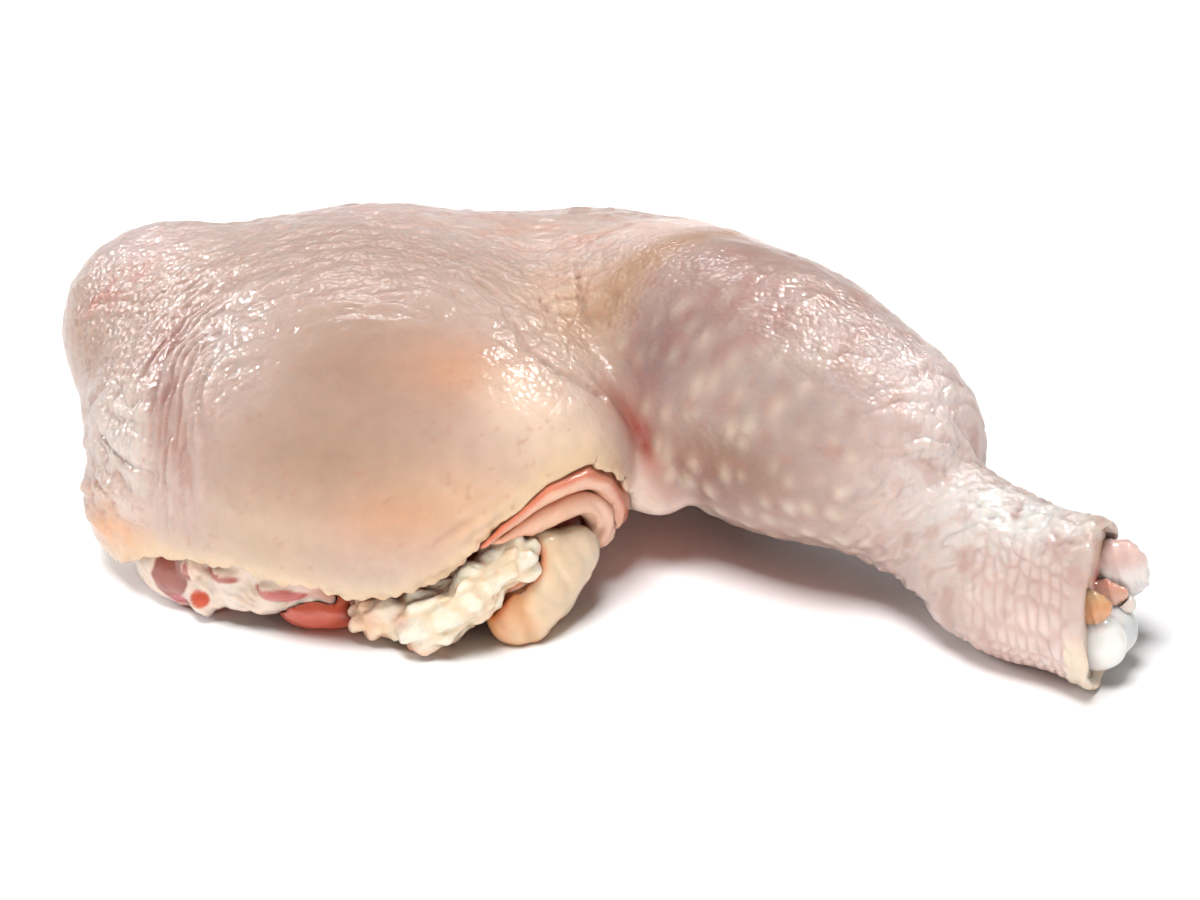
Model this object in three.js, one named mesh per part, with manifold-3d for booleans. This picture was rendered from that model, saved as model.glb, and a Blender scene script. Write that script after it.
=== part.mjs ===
// A raw chicken leg quarter, skin on: the thigh on the left, the drumstick running to the right
// and towards the viewer, lying on its cut side as on a board. Millimetres, +Z up, X along the
// longest side, the viewer at -Y. The skin is a shell open underneath and at the cut hock; the
// meat fills it and shows under the skin's edge, and the shin bone runs through the drumstick.

import * as THREE from 'three';
import { mergeVertices } from 'three/addons/utils/BufferGeometryUtils.js';
import loadManifold from 'manifold-3d';

// ---- driving dimensions -------------------------------------------------------------------

const SKIN = 2.2; // skin with the fat that clings to it
const GAP = 0.3; // clearance between two pieces that touch
const MIDDLE_X = -2.96; // middle of the whole in the frame that the places below are given in
const MIDDLE_Y = 10.08;

const KNEE = [-3.7, 35.3, 26]; // where thigh and drumstick meet
const NECK = [60.5, -22.8, 14.9]; // thinnest place, just above the hock
const HOCK = [79.5, -34.9, 12.8]; // middle of the sawn end
const HOCK_FACING = [0.93, -0.34, 0.14]; // the way the sawn end looks
const NECK_RADIUS = 10.2;
const HOCK_RADIUS = 13.8;
const HOCK_REACH = 5.6; // the ankle's form runs on this far before it is cut

const THIGH_HEART = [-40.9, 18.6, 18.6]; // from here the whole thigh's surface can be seen
const DRUM_START = [11.2, 20.5, 27]; // core line of the drumstick
const DRUM_END = [74.4, -32.1, 13];

// Each lobe is an egg: its middle, its three half lengths, the way its long side lies in plan
// (degrees from +X) and how softly it runs into the lobes before it.
const THIGH_LOBES = [
  // the round of the thigh, and its belly towards the viewer
  { middle: [-40, 20.5, 18.6], half: [46.5, 47.4, 29] },
  { middle: [-35.3, 0, 21.4], half: [40.9, 32.6, 24.2], blend: 13 },
  // hip: the hump at the back, the side, the corner and the cut that lies on the board
  { middle: [-75.3, 36.3, 25.6], half: [17.7, 20.9, 16.3], heading: -20, blend: 7.4 },
  { middle: [-65.1, 9.3, 15.8], half: [18.6, 27.9, 17.7], heading: 16, blend: 9.3 },
  { middle: [-70.7, -2.8, 11.2], half: [14.4, 12.1, 12.1], blend: 6.5 },
  { middle: [-64, -10, 6], half: [15, 13, 10], blend: 4 },
  // knee: over the joint, and its outer side
  { middle: [-1, 40, 24.4], half: [32, 24.2, 17.7], blend: 9.3 },
  { middle: [15, 32, 23], half: [20, 17, 18], heading: -35, blend: 8 },
];
// The web of skin that hangs from the crease between thigh and drumstick.
const WEB = { middle: [8, -0.5, 17], half: [9, 6, 7.5], heading: -50 };
const CALF = { middle: [27, 8.8, 27.5], half: [39.1, 23, 22.3] };
const CALF_END = { middle: [45.6, -1.9, 24.2], half: [18.1, 16.3, 15.8], blend: 5.6 };
const SHANK_SLACK = { middle: [61, -17.5, 18.5], half: [9, 6, 6], blend: 4 }; // behind the shank
const ANKLE_PAD = { middle: [65.5, -28.6, 10.5], half: [13, 10.3, 10.3], blend: 4 };
const SHANK_START = [37.2, 0, 18.6];
const SHANK_RADIUS = 11.2;
const SHANK_BLEND = 3.7;
const ANKLE_BLEND = 4.7;

// Thigh and drumstick meet in a tight crease at the front and run together round the knee.
const CREASE = { blend: 4, y: 2 };
const KNEE_BEND = { blend: 13, y: 20 };

// The skin's free edge on the viewer's side, seen from the front: x and height of each bend.
const HEM = [[-93, 1.4], [-85.6, 2.3], [-80.9, 3.7], [-77.2, 7], [-72.5, 10.7], [-67, 12.1],
  [-57.7, 13], [-47.4, 12.3], [-40, 10.2], [-32.6, 10.8], [-25.1, 13.5], [-15.8, 20],
  [-8.4, 24.2], [-1.9, 25.1], [2.3, 21.9], [4.7, 15.8]];
const HEM_BACK = -2.8; // the skin is open this far in, measured along Y
const POCKET = { left: -42.8, right: 4.6, back: -8.4, drop: 1.4 }; // hollow behind the folds and fat

// ---- the form as a distance ---------------------------------------------------------------

const vec = (place) => new THREE.Vector3(...place);
const UP = new THREE.Vector3(0, 0, 1);

function softUnion(a, b, blend) {
  if (blend === 0) return Math.min(a, b);
  const share = THREE.MathUtils.clamp(0.5 + (0.5 * (b - a)) / blend, 0, 1);
  return THREE.MathUtils.lerp(b, a, share) - blend * share * (1 - share);
}

// Axes of a lobe: its long side, the side across it and the one on top.
function lobeAxes(along) {
  const long = along.clone().normalize();
  const across = new THREE.Vector3().crossVectors(UP, long).normalize();
  return [long, across, new THREE.Vector3().crossVectors(long, across)];
}

function makeLobe({ middle, half, heading = 0, blend = 0 }, along = null) {
  const turn = THREE.MathUtils.degToRad(heading);
  const axes = lobeAxes(along ?? new THREE.Vector3(Math.cos(turn), Math.sin(turn), 0));
  return { middle: vec(middle), half, axes, blend };
}

// Distance to an egg, negative inside.
const offset = new THREE.Vector3();
function lobeDistance(point, { middle, half, axes }) {
  offset.subVectors(point, middle);
  let inUnits = 0;
  let slope = 0;
  for (let axis = 0; axis < 3; axis += 1) {
    const part = offset.dot(axes[axis]) / half[axis];
    inUnits += part * part;
    slope += (part / half[axis]) ** 2;
  }
  const size = Math.sqrt(inUnits);
  return (size * (size - 1)) / Math.max(Math.sqrt(slope), 1e-6);
}

const lobesDistance = (lobes) => (point) => lobes.reduce(
  (nearest, lobe) => softUnion(nearest, lobeDistance(point, lobe), lobe.blend),
  Infinity,
);

// Distance to a round rod that changes from one radius to another.
const span = new THREE.Vector3();
function rodDistance(point, start, end, startRadius, endRadius) {
  span.subVectors(end, start);
  offset.subVectors(point, start);
  const share = THREE.MathUtils.clamp(offset.dot(span) / span.lengthSq(), 0, 1);
  offset.addScaledVector(span, -share);
  return offset.length() - THREE.MathUtils.lerp(startRadius, endRadius, share);
}

const thighDistance = lobesDistance(THIGH_LOBES.map((lobe) => makeLobe(lobe)));

const shinLine = vec(HOCK).sub(vec(KNEE));
const calf = makeLobe(CALF, shinLine);
const calfEnd = makeLobe(CALF_END, shinLine);
const fullness = [SHANK_SLACK, ANKLE_PAD].map((lobe) => makeLobe(lobe, shinLine));
const ankleTip = vec(HOCK).sub(vec(NECK)).setLength(HOCK_REACH).add(vec(HOCK));

function drumDistance(point) {
  const muscle = softUnion(lobeDistance(point, calf), lobeDistance(point, calfEnd), calfEnd.blend);
  const shank = rodDistance(point, vec(SHANK_START), vec(NECK), SHANK_RADIUS, NECK_RADIUS);
  const ankle = rodDistance(point, vec(NECK), ankleTip, NECK_RADIUS, HOCK_RADIUS);
  const limb = softUnion(softUnion(muscle, shank, SHANK_BLEND), ankle, ANKLE_BLEND);
  return fullness.reduce((form, lobe) => softUnion(form, lobeDistance(point, lobe), lobe.blend), limb);
}

// What the soft meeting of thigh and drumstick adds outside each of them. Taken off both
// distances, it makes the two solids meet along the same rounded crease.
function fillet(point) {
  const share = THREE.MathUtils.smoothstep(point.y, CREASE.y, KNEE_BEND.y);
  const blend = THREE.MathUtils.lerp(CREASE.blend, KNEE_BEND.blend, share);
  const thigh = thighDistance(point);
  const drum = drumDistance(point);
  return Math.min(thigh, drum) - softUnion(thigh, drum, blend);
}

// ---- from a form to a solid ---------------------------------------------------------------

const wasm = await loadManifold();
wasm.setup();

const WELD = 0.01; // corners nearer than this are one corner
function weld(geometry) {
  geometry.deleteAttribute('normal');
  geometry.deleteAttribute('uv');
  return mergeVertices(geometry, WELD);
}

function toSolid(merged) {
  const corners = merged.index.array;
  const kept = [];
  for (let i = 0; i < corners.length; i += 3) {
    const [a, b, c] = corners.slice(i, i + 3);
    if (a !== b && b !== c && c !== a) kept.push(a, b, c);
  }
  return new wasm.Manifold(new wasm.Mesh({
    numProp: 3,
    vertProperties: new Float32Array(merged.attributes.position.array),
    triVerts: new Uint32Array(kept),
  }));
}

// Pushes every vertex of a capsule or ball out from its core line until it lies on the form,
// or `level` outside it. The shape starts upright round the origin, its core `length` long.
const FIRST_STEP = 0.5; // off the core line, where an egg's distance has no direction
const STEPS = 80;
const STEP_SHARE = 0.9; // of the distance still left, taken in one step
function wrap(shape, start, end, distance, level) {
  const geometry = weld(shape);
  const middle = vec(start).add(vec(end)).multiplyScalar(0.5);
  const core = vec(end).sub(vec(start));
  const reach = core.length() / 2;
  const tilt = new THREE.Quaternion();
  if (reach > 0) tilt.setFromUnitVectors(new THREE.Vector3(0, 1, 0), core.clone().normalize());
  const places = geometry.attributes.position;
  const vertex = new THREE.Vector3();
  const foot = new THREE.Vector3();
  for (let i = 0; i < places.count; i += 1) {
    vertex.fromBufferAttribute(places, i);
    foot.set(0, THREE.MathUtils.clamp(vertex.y, -reach, reach), 0);
    const way = vertex.sub(foot).normalize().applyQuaternion(tilt);
    foot.applyQuaternion(tilt).add(middle);
    const point = foot.clone().addScaledVector(way, FIRST_STEP);
    for (let step = 0; step < STEPS; step += 1) {
      point.addScaledVector(way, (level - distance(point)) * STEP_SHARE);
    }
    places.setXYZ(i, point.x, point.y, point.z);
  }
  return toSolid(geometry);
}

const BALL_RADIUS = 10;
function wrappedBall(heart, distance, level, detail) {
  const ball = new THREE.IcosahedronGeometry(BALL_RADIUS, detail);
  return wrap(ball, heart, heart, distance, level);
}

function wrappedCapsule(start, end, distance, level, { cap, around, along }) {
  const length = vec(end).distanceTo(vec(start));
  const capsule = new THREE.CapsuleGeometry(BALL_RADIUS, length, cap, around, along);
  return wrap(capsule, start, end, distance, level);
}

// A block far larger than the part, on the far side of a plane through `place`.
const BLOCK = 400;
function blockBeyond(place, facing) {
  const block = new THREE.BoxGeometry(BLOCK, BLOCK, BLOCK);
  block.translate(0, 0, BLOCK / 2);
  const turn = new THREE.Quaternion().setFromUnitVectors(UP, vec(facing).normalize());
  block.applyQuaternion(turn);
  block.translate(...place);
  return toSolid(weld(block));
}

// A place on the sawn end's plane, or `inward` of it.
const hockOut = vec(HOCK_FACING).normalize();
const hockPlace = (inward) => vec(HOCK).addScaledVector(hockOut, -inward).toArray();
const underFloor = blockBeyond([0, 0, 0], [0, 0, -1]);

// ---- skin and meat ------------------------------------------------------------------------

// How finely each part of the leg's form is divided, on the outer skin and on the faces inside.
const FINE = { thigh: 12, web: 3, drum: { cap: 5, around: 26, along: 14 } };
const COARSE = { thigh: 7, web: 2, drum: { cap: 4, around: 15, along: 9 } };

function legForm(level, { thigh, web, drum }) {
  const thighSide = (point) => thighDistance(point) - fillet(point);
  const drumSide = (point) => drumDistance(point) - fillet(point);
  return wrappedBall(THIGH_HEART, thighSide, level, thigh)
    .add(wrappedCapsule(DRUM_START, DRUM_END, drumSide, level, drum))
    .add(blob([WEB], level, web));
}

// The space in front of and below the skin's free edge, from `back` on towards the viewer.
const FRONT = 90;
const HEM_STEPS = 36;
function belowHem(lower, back) {
  const bends = HEM.map(([x, height]) => new THREE.Vector2(x, height - lower));
  const edge = new THREE.SplineCurve(bends).getPoints(HEM_STEPS);
  const outline = new THREE.Shape(edge);
  outline.lineTo(edge.at(-1).x, -FRONT);
  outline.lineTo(edge[0].x, -FRONT);
  const space = new THREE.ExtrudeGeometry(outline, { depth: FRONT, bevelEnabled: false });
  space.rotateX(Math.PI / 2);
  space.translate(0, back, 0);
  return toSolid(weld(space));
}

// The hollow in the meat that holds the folds and the fat, smaller all round by `inset`.
function pocket(inset) {
  return belowHem(POCKET.drop + inset, POCKET.back - inset)
    .subtract(blockBeyond([POCKET.left + inset, 0, 0], [-1, 0, 0]))
    .subtract(blockBeyond([POCKET.right - inset, 0, 0], [1, 0, 0]));
}

function skin() {
  return legForm(0, FINE)
    .subtract(legForm(-SKIN, COARSE))
    .subtract(belowHem(0, HEM_BACK))
    .subtract(blockBeyond(hockPlace(0), HOCK_FACING))
    .subtract(underFloor);
}

// Ends of the cut muscles that stand out of the meat's white skin at the hip: middle, half
// lengths and heading.
const HIP_MUSCLES = [
  { middle: [-70.3, -15.2, 6.6], half: [3.6, 3.4, 4.4], heading: 20 },
  { middle: [-66.2, -19.6, 10], half: [2.2, 2.6, 2.4], heading: 20 },
  { middle: [-60, -22, 10.4], half: [3.4, 2.6, 1.6], heading: 10 },
  { middle: [-64.5, -19.5, 3.6], half: [2.8, 2.8, 2.4] },
  { middle: [-50.8, -25.6, 9.2], half: [4.4, 2.2, 1.9], heading: 5 },
  { middle: [-55, -21, 6.2], half: [8, 4, 3.4], heading: -4 },
];

const MEAT_RECESS = 1; // how far the meat's end lies inside the sawn skin
function meatForm(grow) {
  let form = legForm(-SKIN - GAP + grow, COARSE);
  for (const muscle of HIP_MUSCLES) form = form.add(blob([muscle], grow, 1));
  return form
    .subtract(pocket(grow))
    .subtract(blockBeyond(hockPlace(MEAT_RECESS - grow), HOCK_FACING))
    .subtract(underFloor);
}

// ---- the sawn hock ------------------------------------------------------------------------

// A place on the sawn end: to the right and back, up, and out of the cut.
const [, hockRight, hockUp] = lobeAxes(hockOut);
function onHock(right, up, out) {
  return vec(HOCK).addScaledVector(hockRight, right).addScaledVector(hockUp, up)
    .addScaledVector(hockOut, out);
}

// Half lengths are given in the same order: right, up, out.
function hockLobe(place, half, blend = 0) {
  const [right, up, out] = half;
  return { middle: onHock(...place), half: [out, right, up], axes: lobeAxes(hockOut), blend };
}

const BONE_RADIUS = 4;
const BONE_BLEND = 3.7;
const BONE_KNEE_END = [7.4, 24.2, 25.1]; // the bone's hidden end, in the knee
const CONDYLES = [
  hockLobe([-3, -5.6, -0.5], [4.1, 4.7, 4.8]),
  hockLobe([1.5, -5.9, 0.7], [3.7, 4.5, 4.3], 1),
];
const boneEnd = onHock(-0.9, -5, -6.5);
const boneKnee = vec(BONE_KNEE_END);
const condylesDistance = lobesDistance(CONDYLES);

function boneDistance(point) {
  const shaft = rodDistance(point, boneKnee, boneEnd, BONE_RADIUS, BONE_RADIUS);
  return softUnion(shaft, condylesDistance(point), BONE_BLEND);
}

function shinBone(grow) {
  const end = onHock(-0.7, -5.6, 0).toArray();
  return wrappedCapsule(BONE_KNEE_END, end, boneDistance, grow, { cap: 5, around: 12, along: 6 });
}

// Small soft pieces at the cut: middle, half lengths (right, up, out).
const HOCK_PIECES = {
  front_tendon: { place: [-4.3, 1.5, -1.5], half: [2.1, 3, 4.1] },
  middle_tendon: { place: [2, 0.4, -1.1], half: [1.8, 2.4, 4.7] },
  joint_knob: { place: [2.4, -1.8, 3.3], half: [1.7, 1.6, 1.5] },
  joint_tissue: { place: [6.2, 3.2, 1.2], half: [4.6, 8.2, 5.6] },
};

function hockPiece(name, grow) {
  const { place, half } = HOCK_PIECES[name];
  const heart = onHock(...place).toArray();
  return wrappedBall(heart, lobesDistance([hockLobe(place, half)]), grow, 2);
}

// ---- folds, fat and muscle under the skin's edge ------------------------------------------

const UNDER_MUSCLE = [
  { middle: [-46, -20.8, 4], half: [7, 4.9, 4.2], heading: 5 },
  { middle: [-41.9, -20, 3.3], half: [4.7, 4.6, 3.5], heading: 0, blend: 1.9 },
];
const FAT_PAD = [
  { middle: [-35.3, -25.6, 5.1], half: [5.6, 5.1, 4.5], heading: 10 },
  { middle: [-27, -28.2, 5.6], half: [7, 5.8, 5.6], heading: 20, blend: 2.3 },
  { middle: [-20.9, -28.8, 10.7], half: [6, 5.1, 5.8], heading: 20, blend: 2.8 },
  { middle: [-14.4, -25.6, 14.9], half: [5.1, 4.7, 4.8], heading: 10, blend: 2.8 },
];
const FAT_FLAP = [
  { middle: [-9.3, -21.4, 8.8], half: [6.6, 5.2, 8.6], heading: 35 },
  { middle: [-13, -25.6, 5.1], half: [5.2, 4.3, 6], heading: 20, blend: 3.7 },
  { middle: [-4.2, -16.8, 11.2], half: [4.4, 4.2, 4.6], heading: 45, blend: 3.7 },
];
const LUMP_SIZE = 4.8; // spacing of the knobs on the fat
const LUMP_DEPTH = 0.5;
const LUMP_SHEAR = 0.55; // sets each row of knobs off from the next, so that they look uneven

function lumps({ x, y, z }) {
  const wave = (2 * Math.PI) / LUMP_SIZE;
  const inPlan = Math.sin(x * wave + z * LUMP_SHEAR) * Math.sin(y * wave);
  const upright = Math.sin(z * wave + x * LUMP_SHEAR);
  return ((inPlan + upright) / 2) * LUMP_DEPTH;
}

// Rolled edges of the skin: the bends of each roll's middle line and its half thickness.
const ROLLS = {
  outer_fold: {
    bends: [
      [-19.5, -27.4, 20.9], [-9.3, -20.5, 23.2], [-1.9, -14, 22.8],
      [3, -9.3, 16.7], [3.2, -7.8, 12.8],
    ],
    radius: 2.6,
  },
  inner_fold: {
    bends: [
      [-15.8, -24.6, 18.1], [-8.4, -19.1, 18.6], [-2.8, -13.5, 17.7],
      [0.2, -10, 13.2], [-0.2, -9.2, 10.5],
    ],
    radius: 2.5,
  },
};

function roll({ bends, radius }, grow) {
  const path = new THREE.CatmullRomCurve3(bends.map((bend) => vec(bend)));
  const section = new THREE.Shape();
  section.absarc(0, 0, radius + grow, 0, 2 * Math.PI);
  const tube = { extrudePath: path, steps: 12, curveSegments: 5, bevelEnabled: false };
  return toSolid(weld(new THREE.ExtrudeGeometry(section, tube)));
}

function blob(lobes, grow, detail, relief = () => 0) {
  const distance = lobesDistance(lobes.map((lobe) => makeLobe(lobe)));
  const heart = lobes[Math.floor((lobes.length - 1) / 2)].middle;
  return wrappedBall(heart, (point) => distance(point) - relief(point), grow, detail);
}

const largest = (solid) => solid.decompose().reduce((a, b) => (a.volume() > b.volume() ? a : b));

// What lies under the skin's edge stays clear of the skin, the meat and the floor. Scraps that
// the cuts leave are dropped.
const TUCKED_FROM = 30; // behind everything that lies under the edge
function tuckedIn(solid) {
  const clear = solid.intersect(belowHem(GAP, TUCKED_FROM)).subtract(meatForm(GAP));
  return largest(clear.subtract(underFloor));
}

// ---- colours and the scene ----------------------------------------------------------------

const LOOKS = {
  skin: [0xd9b9ab, 0.42],
  meat: [0xc98878, 0.4],
  shin_bone: [0xe6e2da, 0.3],
  front_tendon: [0xeac29a, 0.35],
  middle_tendon: [0xe0a898, 0.35],
  joint_knob: [0xf0ece4, 0.3],
  joint_tissue: [0xddb6b0, 0.35],
  under_muscle: [0xc5664c, 0.35],
  fat_pad: [0xf2e0c8, 0.4],
  fat_flap: [0xf7d9b8, 0.4],
  outer_fold: [0xf0c4a8, 0.4],
  inner_fold: [0xecb898, 0.4],
};

function meshOf(name, solid) {
  const { vertProperties, triVerts } = solid.getMesh();
  const geometry = new THREE.BufferGeometry();
  geometry.setAttribute('position', new THREE.BufferAttribute(vertProperties, 3));
  geometry.setIndex(new THREE.BufferAttribute(triVerts, 1));
  geometry.computeVertexNormals();
  const [color, roughness] = LOOKS[name];
  const material = new THREE.MeshStandardMaterial({ color, roughness, metalness: 0 });
  const mesh = new THREE.Mesh(geometry, material);
  mesh.name = name;
  return mesh;
}

// The ankle's skin and a little more, to keep the joint's pieces off it.
function skinGrown() {
  return legForm(GAP, COARSE).subtract(legForm(-SKIN - GAP, COARSE))
    .subtract(blockBeyond(hockPlace(-GAP), HOCK_FACING));
}

function hockSolids() {
  const kept = skinGrown();
  const solids = { shin_bone: shinBone(0).subtract(kept) };
  let taken = shinBone(GAP);
  for (const name of Object.keys(HOCK_PIECES)) {
    solids[name] = hockPiece(name, 0).subtract(taken).subtract(kept);
    taken = taken.add(hockPiece(name, GAP));
  }
  return { solids, taken };
}

function underSolids() {
  const takenByPad = blob(FAT_PAD, GAP, 6, lumps);
  const takenByFat = takenByPad.add(blob(FAT_FLAP, GAP, 4));
  const takenByFatAndFold = takenByFat.add(roll(ROLLS.outer_fold, GAP));
  return {
    under_muscle: tuckedIn(blob(UNDER_MUSCLE, 0, 3).subtract(takenByPad)),
    fat_pad: tuckedIn(blob(FAT_PAD, 0, 6, lumps)),
    fat_flap: tuckedIn(blob(FAT_FLAP, 0, 4).subtract(takenByPad)),
    outer_fold: tuckedIn(roll(ROLLS.outer_fold, 0).subtract(takenByFat)),
    inner_fold: tuckedIn(roll(ROLLS.inner_fold, 0).subtract(takenByFatAndFold)),
  };
}

function legQuarter() {
  const hock = hockSolids();
  const solids = {
    skin: skin(),
    meat: largest(meatForm(0).subtract(hock.taken)),
    ...hock.solids,
    ...underSolids(),
  };
  const group = new THREE.Group();
  group.name = 'chicken_leg_quarter';
  for (const [name, solid] of Object.entries(solids)) group.add(meshOf(name, solid));
  group.position.set(-MIDDLE_X, -MIDDLE_Y, 0);
  return group;
}

export default legQuarter();
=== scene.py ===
# %% [markdown]
# # A raw chicken leg quarter
#
# This lesson dresses a chicken leg quarter, skin on: a thigh and a drumstick in one piece, as it
# comes from the butcher, lying on its cut side. It has no straight line anywhere, so nothing in it
# is built from boxes or cylinders. Each piece starts as a *distance*: a function that says, for
# any place, how far it lies outside the flesh. Eggs and rods are easy to write that way, and they
# can be melted into each other as softly as muscles do.
#
# The frame holds the plain solids at their real size. Every piece below replaces one of them.

# %% Load the frame
import math

import bmesh
import bpy
import numpy as np
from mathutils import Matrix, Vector


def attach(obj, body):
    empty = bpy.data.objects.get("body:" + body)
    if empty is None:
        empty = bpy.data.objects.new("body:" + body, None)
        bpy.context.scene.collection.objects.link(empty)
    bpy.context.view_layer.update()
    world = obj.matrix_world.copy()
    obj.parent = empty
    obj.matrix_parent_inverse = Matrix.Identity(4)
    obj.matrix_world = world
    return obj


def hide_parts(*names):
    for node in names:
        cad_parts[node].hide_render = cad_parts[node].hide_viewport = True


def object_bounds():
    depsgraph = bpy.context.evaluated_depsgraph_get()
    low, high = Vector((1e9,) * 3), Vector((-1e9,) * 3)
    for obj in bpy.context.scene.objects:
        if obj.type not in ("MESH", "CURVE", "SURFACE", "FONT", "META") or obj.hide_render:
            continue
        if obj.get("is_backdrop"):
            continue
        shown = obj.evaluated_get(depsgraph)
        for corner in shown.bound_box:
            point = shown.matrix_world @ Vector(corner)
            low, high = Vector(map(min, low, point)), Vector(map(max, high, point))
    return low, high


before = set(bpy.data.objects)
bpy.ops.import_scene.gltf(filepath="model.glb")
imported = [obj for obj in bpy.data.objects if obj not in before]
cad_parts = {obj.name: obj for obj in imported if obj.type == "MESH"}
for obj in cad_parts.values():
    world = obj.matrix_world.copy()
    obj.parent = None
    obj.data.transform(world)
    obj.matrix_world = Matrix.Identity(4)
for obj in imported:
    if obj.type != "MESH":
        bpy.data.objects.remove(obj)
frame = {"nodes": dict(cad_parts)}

cad_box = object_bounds()
print("nodes to dress:", ", ".join(frame["nodes"]))

# %% [markdown]
# ## Millimetres
#
# The leg is 181 mm long. Its places are given in millimetres, from a point inside the leg near the
# knee, because those numbers are easy to picture. Blender wants metres from the middle of the
# whole, so one function turns the first into the second when a mesh is made.

# %% Millimetres to metres
MM = 0.001
MIDDLE = np.array([-2.96, 10.08, 0.0])  # middle of the whole leg, in the places' own frame


def to_metres(points):
    return (np.asarray(points, float) - MIDDLE) * MM


def unit(vector):
    return np.asarray(vector, float) / np.linalg.norm(vector)


# %% [markdown]
# ## Camera
#
# The leg is seen from its front side, from 30 degrees above. A long lens from half a metre away
# keeps the far end nearly as large as the near one. The camera is placed by a distance and an
# angle from the point it looks at, because each of them can then be changed alone.

# %% Camera
LOOK_AT = to_metres([0, 0, 20.46])
CAMERA_DISTANCE = 0.558
CAMERA_RISE = math.radians(30)
LENS = 100.8

camera = bpy.data.objects.new("camera", bpy.data.cameras.new("camera"))
camera.data.lens = LENS
camera.data.sensor_width = 36
towards = Vector((0, math.cos(CAMERA_RISE), -math.sin(CAMERA_RISE)))
camera.location = Vector(LOOK_AT) - CAMERA_DISTANCE * towards
camera.rotation_euler = towards.to_track_quat("-Z", "Y").to_euler()
bpy.context.collection.objects.link(camera)
bpy.context.scene.camera = camera
print(f"the camera stands {camera.location.z / MM:.0f} mm above the paper")

# %% [markdown]
# ## Floor
#
# The leg lies on plain white paper. One square does for it, so wide that its edge never shows.

# %% Floor
FLOOR_SIZE = 6.0
bpy.ops.mesh.primitive_plane_add(size=FLOOR_SIZE)
floor = bpy.context.object
floor.name = "floor"
paper = bpy.data.materials.new("paper")
paper.use_nodes = True
paper_look = paper.node_tree.nodes["Principled BSDF"]
paper_look.inputs["Base Color"].default_value = (0.93, 0.93, 0.93, 1)
paper_look.inputs["Roughness"].default_value = 0.9
paper_look.inputs["Specular IOR Level"].default_value = 0.1
floor.data.materials.append(paper)
floor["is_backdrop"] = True
print(f"paper floor, {FLOOR_SIZE:.0f} m wide")

# %% [markdown]
# ## Soft light
#
# The lamp overhead is so strong that the paper goes past white and only the space under the
# drumstick stays dark. The other large lamps reach only the flesh, a collection that every piece
# of it joins, and stand for the light that the paper throws back up. A brighter sky could do
# that too, but it would also fill the shadow. All of these are kept out of reflections, where
# they would lay a white veil over the skin.

# %% A soft lamp
flesh = bpy.data.collections.new("flesh")
LEG_MIDDLE = (0, 0, 0.02)


def softbox(name, place, size, power, aim=LEG_MIDDLE, spread=180, glints=False, on_flesh_only=False):
    box = bpy.data.objects.new(name, bpy.data.lights.new(name, "AREA"))
    box.data.shape = "RECTANGLE"
    box.data.size, box.data.size_y = size
    box.data.energy = power
    box.data.spread = math.radians(spread)
    box.location = place
    box.rotation_euler = (Vector(aim) - Vector(place)).to_track_quat("-Z", "Y").to_euler()
    box.visible_camera = False
    box.visible_glossy = glints
    box.visible_diffuse = not glints
    if on_flesh_only:
        box.light_linking.receiver_collection = flesh
    bpy.context.collection.objects.link(box)
    print(f"lamp {name}: {power} W")
    return box


# %% Sky and large lamps
SKY = 0.08
sky = bpy.data.worlds.new("studio")
sky.use_nodes = True
sky.node_tree.nodes["Background"].inputs["Color"].default_value = (1, 1, 1, 1)
sky.node_tree.nodes["Background"].inputs["Strength"].default_value = SKY
bpy.context.scene.world = sky
bpy.context.scene.view_settings.view_transform = "Standard"
softbox("overhead", place=(-0.15, -0.28, 1.0), size=(0.38, 0.38), power=11.5)
softbox("behind", place=(0.15, 0.6, 0.8), size=(0.6, 0.3), power=7.5, on_flesh_only=True)
softbox("left", place=(-0.8, -0.25, 0.45), size=(0.4, 0.4), power=4, on_flesh_only=True)
softbox("right", place=(0.75, 0.15, 0.45), size=(0.4, 0.4), power=4, on_flesh_only=True)
softbox("front", place=(0.1, -0.85, 0.24), size=(0.9, 0.4), power=5.0, on_flesh_only=True)
softbox("low_front", place=(0.04, -0.4, 0.04), size=(0.7, 0.08), power=1.4, on_flesh_only=True)

# %% [markdown]
# ## Glints, and light on the paper alone
#
# Three small lamps do the opposite of the large ones: they give nothing but glints on the wet
# skin. The two near ones shine in a narrow cone, one on the calf and one on the hip, because
# glints all over would look like plastic. Three more lamps reach only the paper. One of them is
# red and small and lies in the gap under the drumstick: some light goes right through raw meat
# and comes out red.

# %% Lamps for glints
CALF_GLINT, HIP_GLINT = (0.047, -0.014, 0.043), (-0.074, 0.0, 0.035)
softbox("glint_right", place=(0.128, 0.06, 0.205), size=(0.1, 0.025), power=0.027,
        aim=CALF_GLINT, spread=34, glints=True)
softbox("glint_left", place=(-0.174, 0.083, 0.166), size=(0.07, 0.05), power=0.016,
        aim=HIP_GLINT, spread=28, glints=True)
softbox("glint_back", place=(-0.1, 0.75, 0.7), size=(0.3, 0.06), power=1.3, glints=True)

# %% Lamps for the paper
paper_only = bpy.data.collections.new("paper_only")
paper_only.objects.link(floor)
paper_left = softbox("paper_left", place=(-0.85, 0.1, 0.45), size=(0.4, 0.4), power=8)
paper_right = softbox("paper_right", place=(0.3, 0.9, 0.5), size=(0.4, 0.4), power=3)
warm = softbox("warm", place=(0.045, -0.03, 0.009), size=(0.09, 0.03), power=0.0012)
warm.rotation_euler = (0, 0, math.radians(-38))
warm.data.color = (1, 0.1, 0.06)
for lamp in (paper_left, paper_right, warm):
    lamp.light_linking.receiver_collection = paper_only


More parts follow.
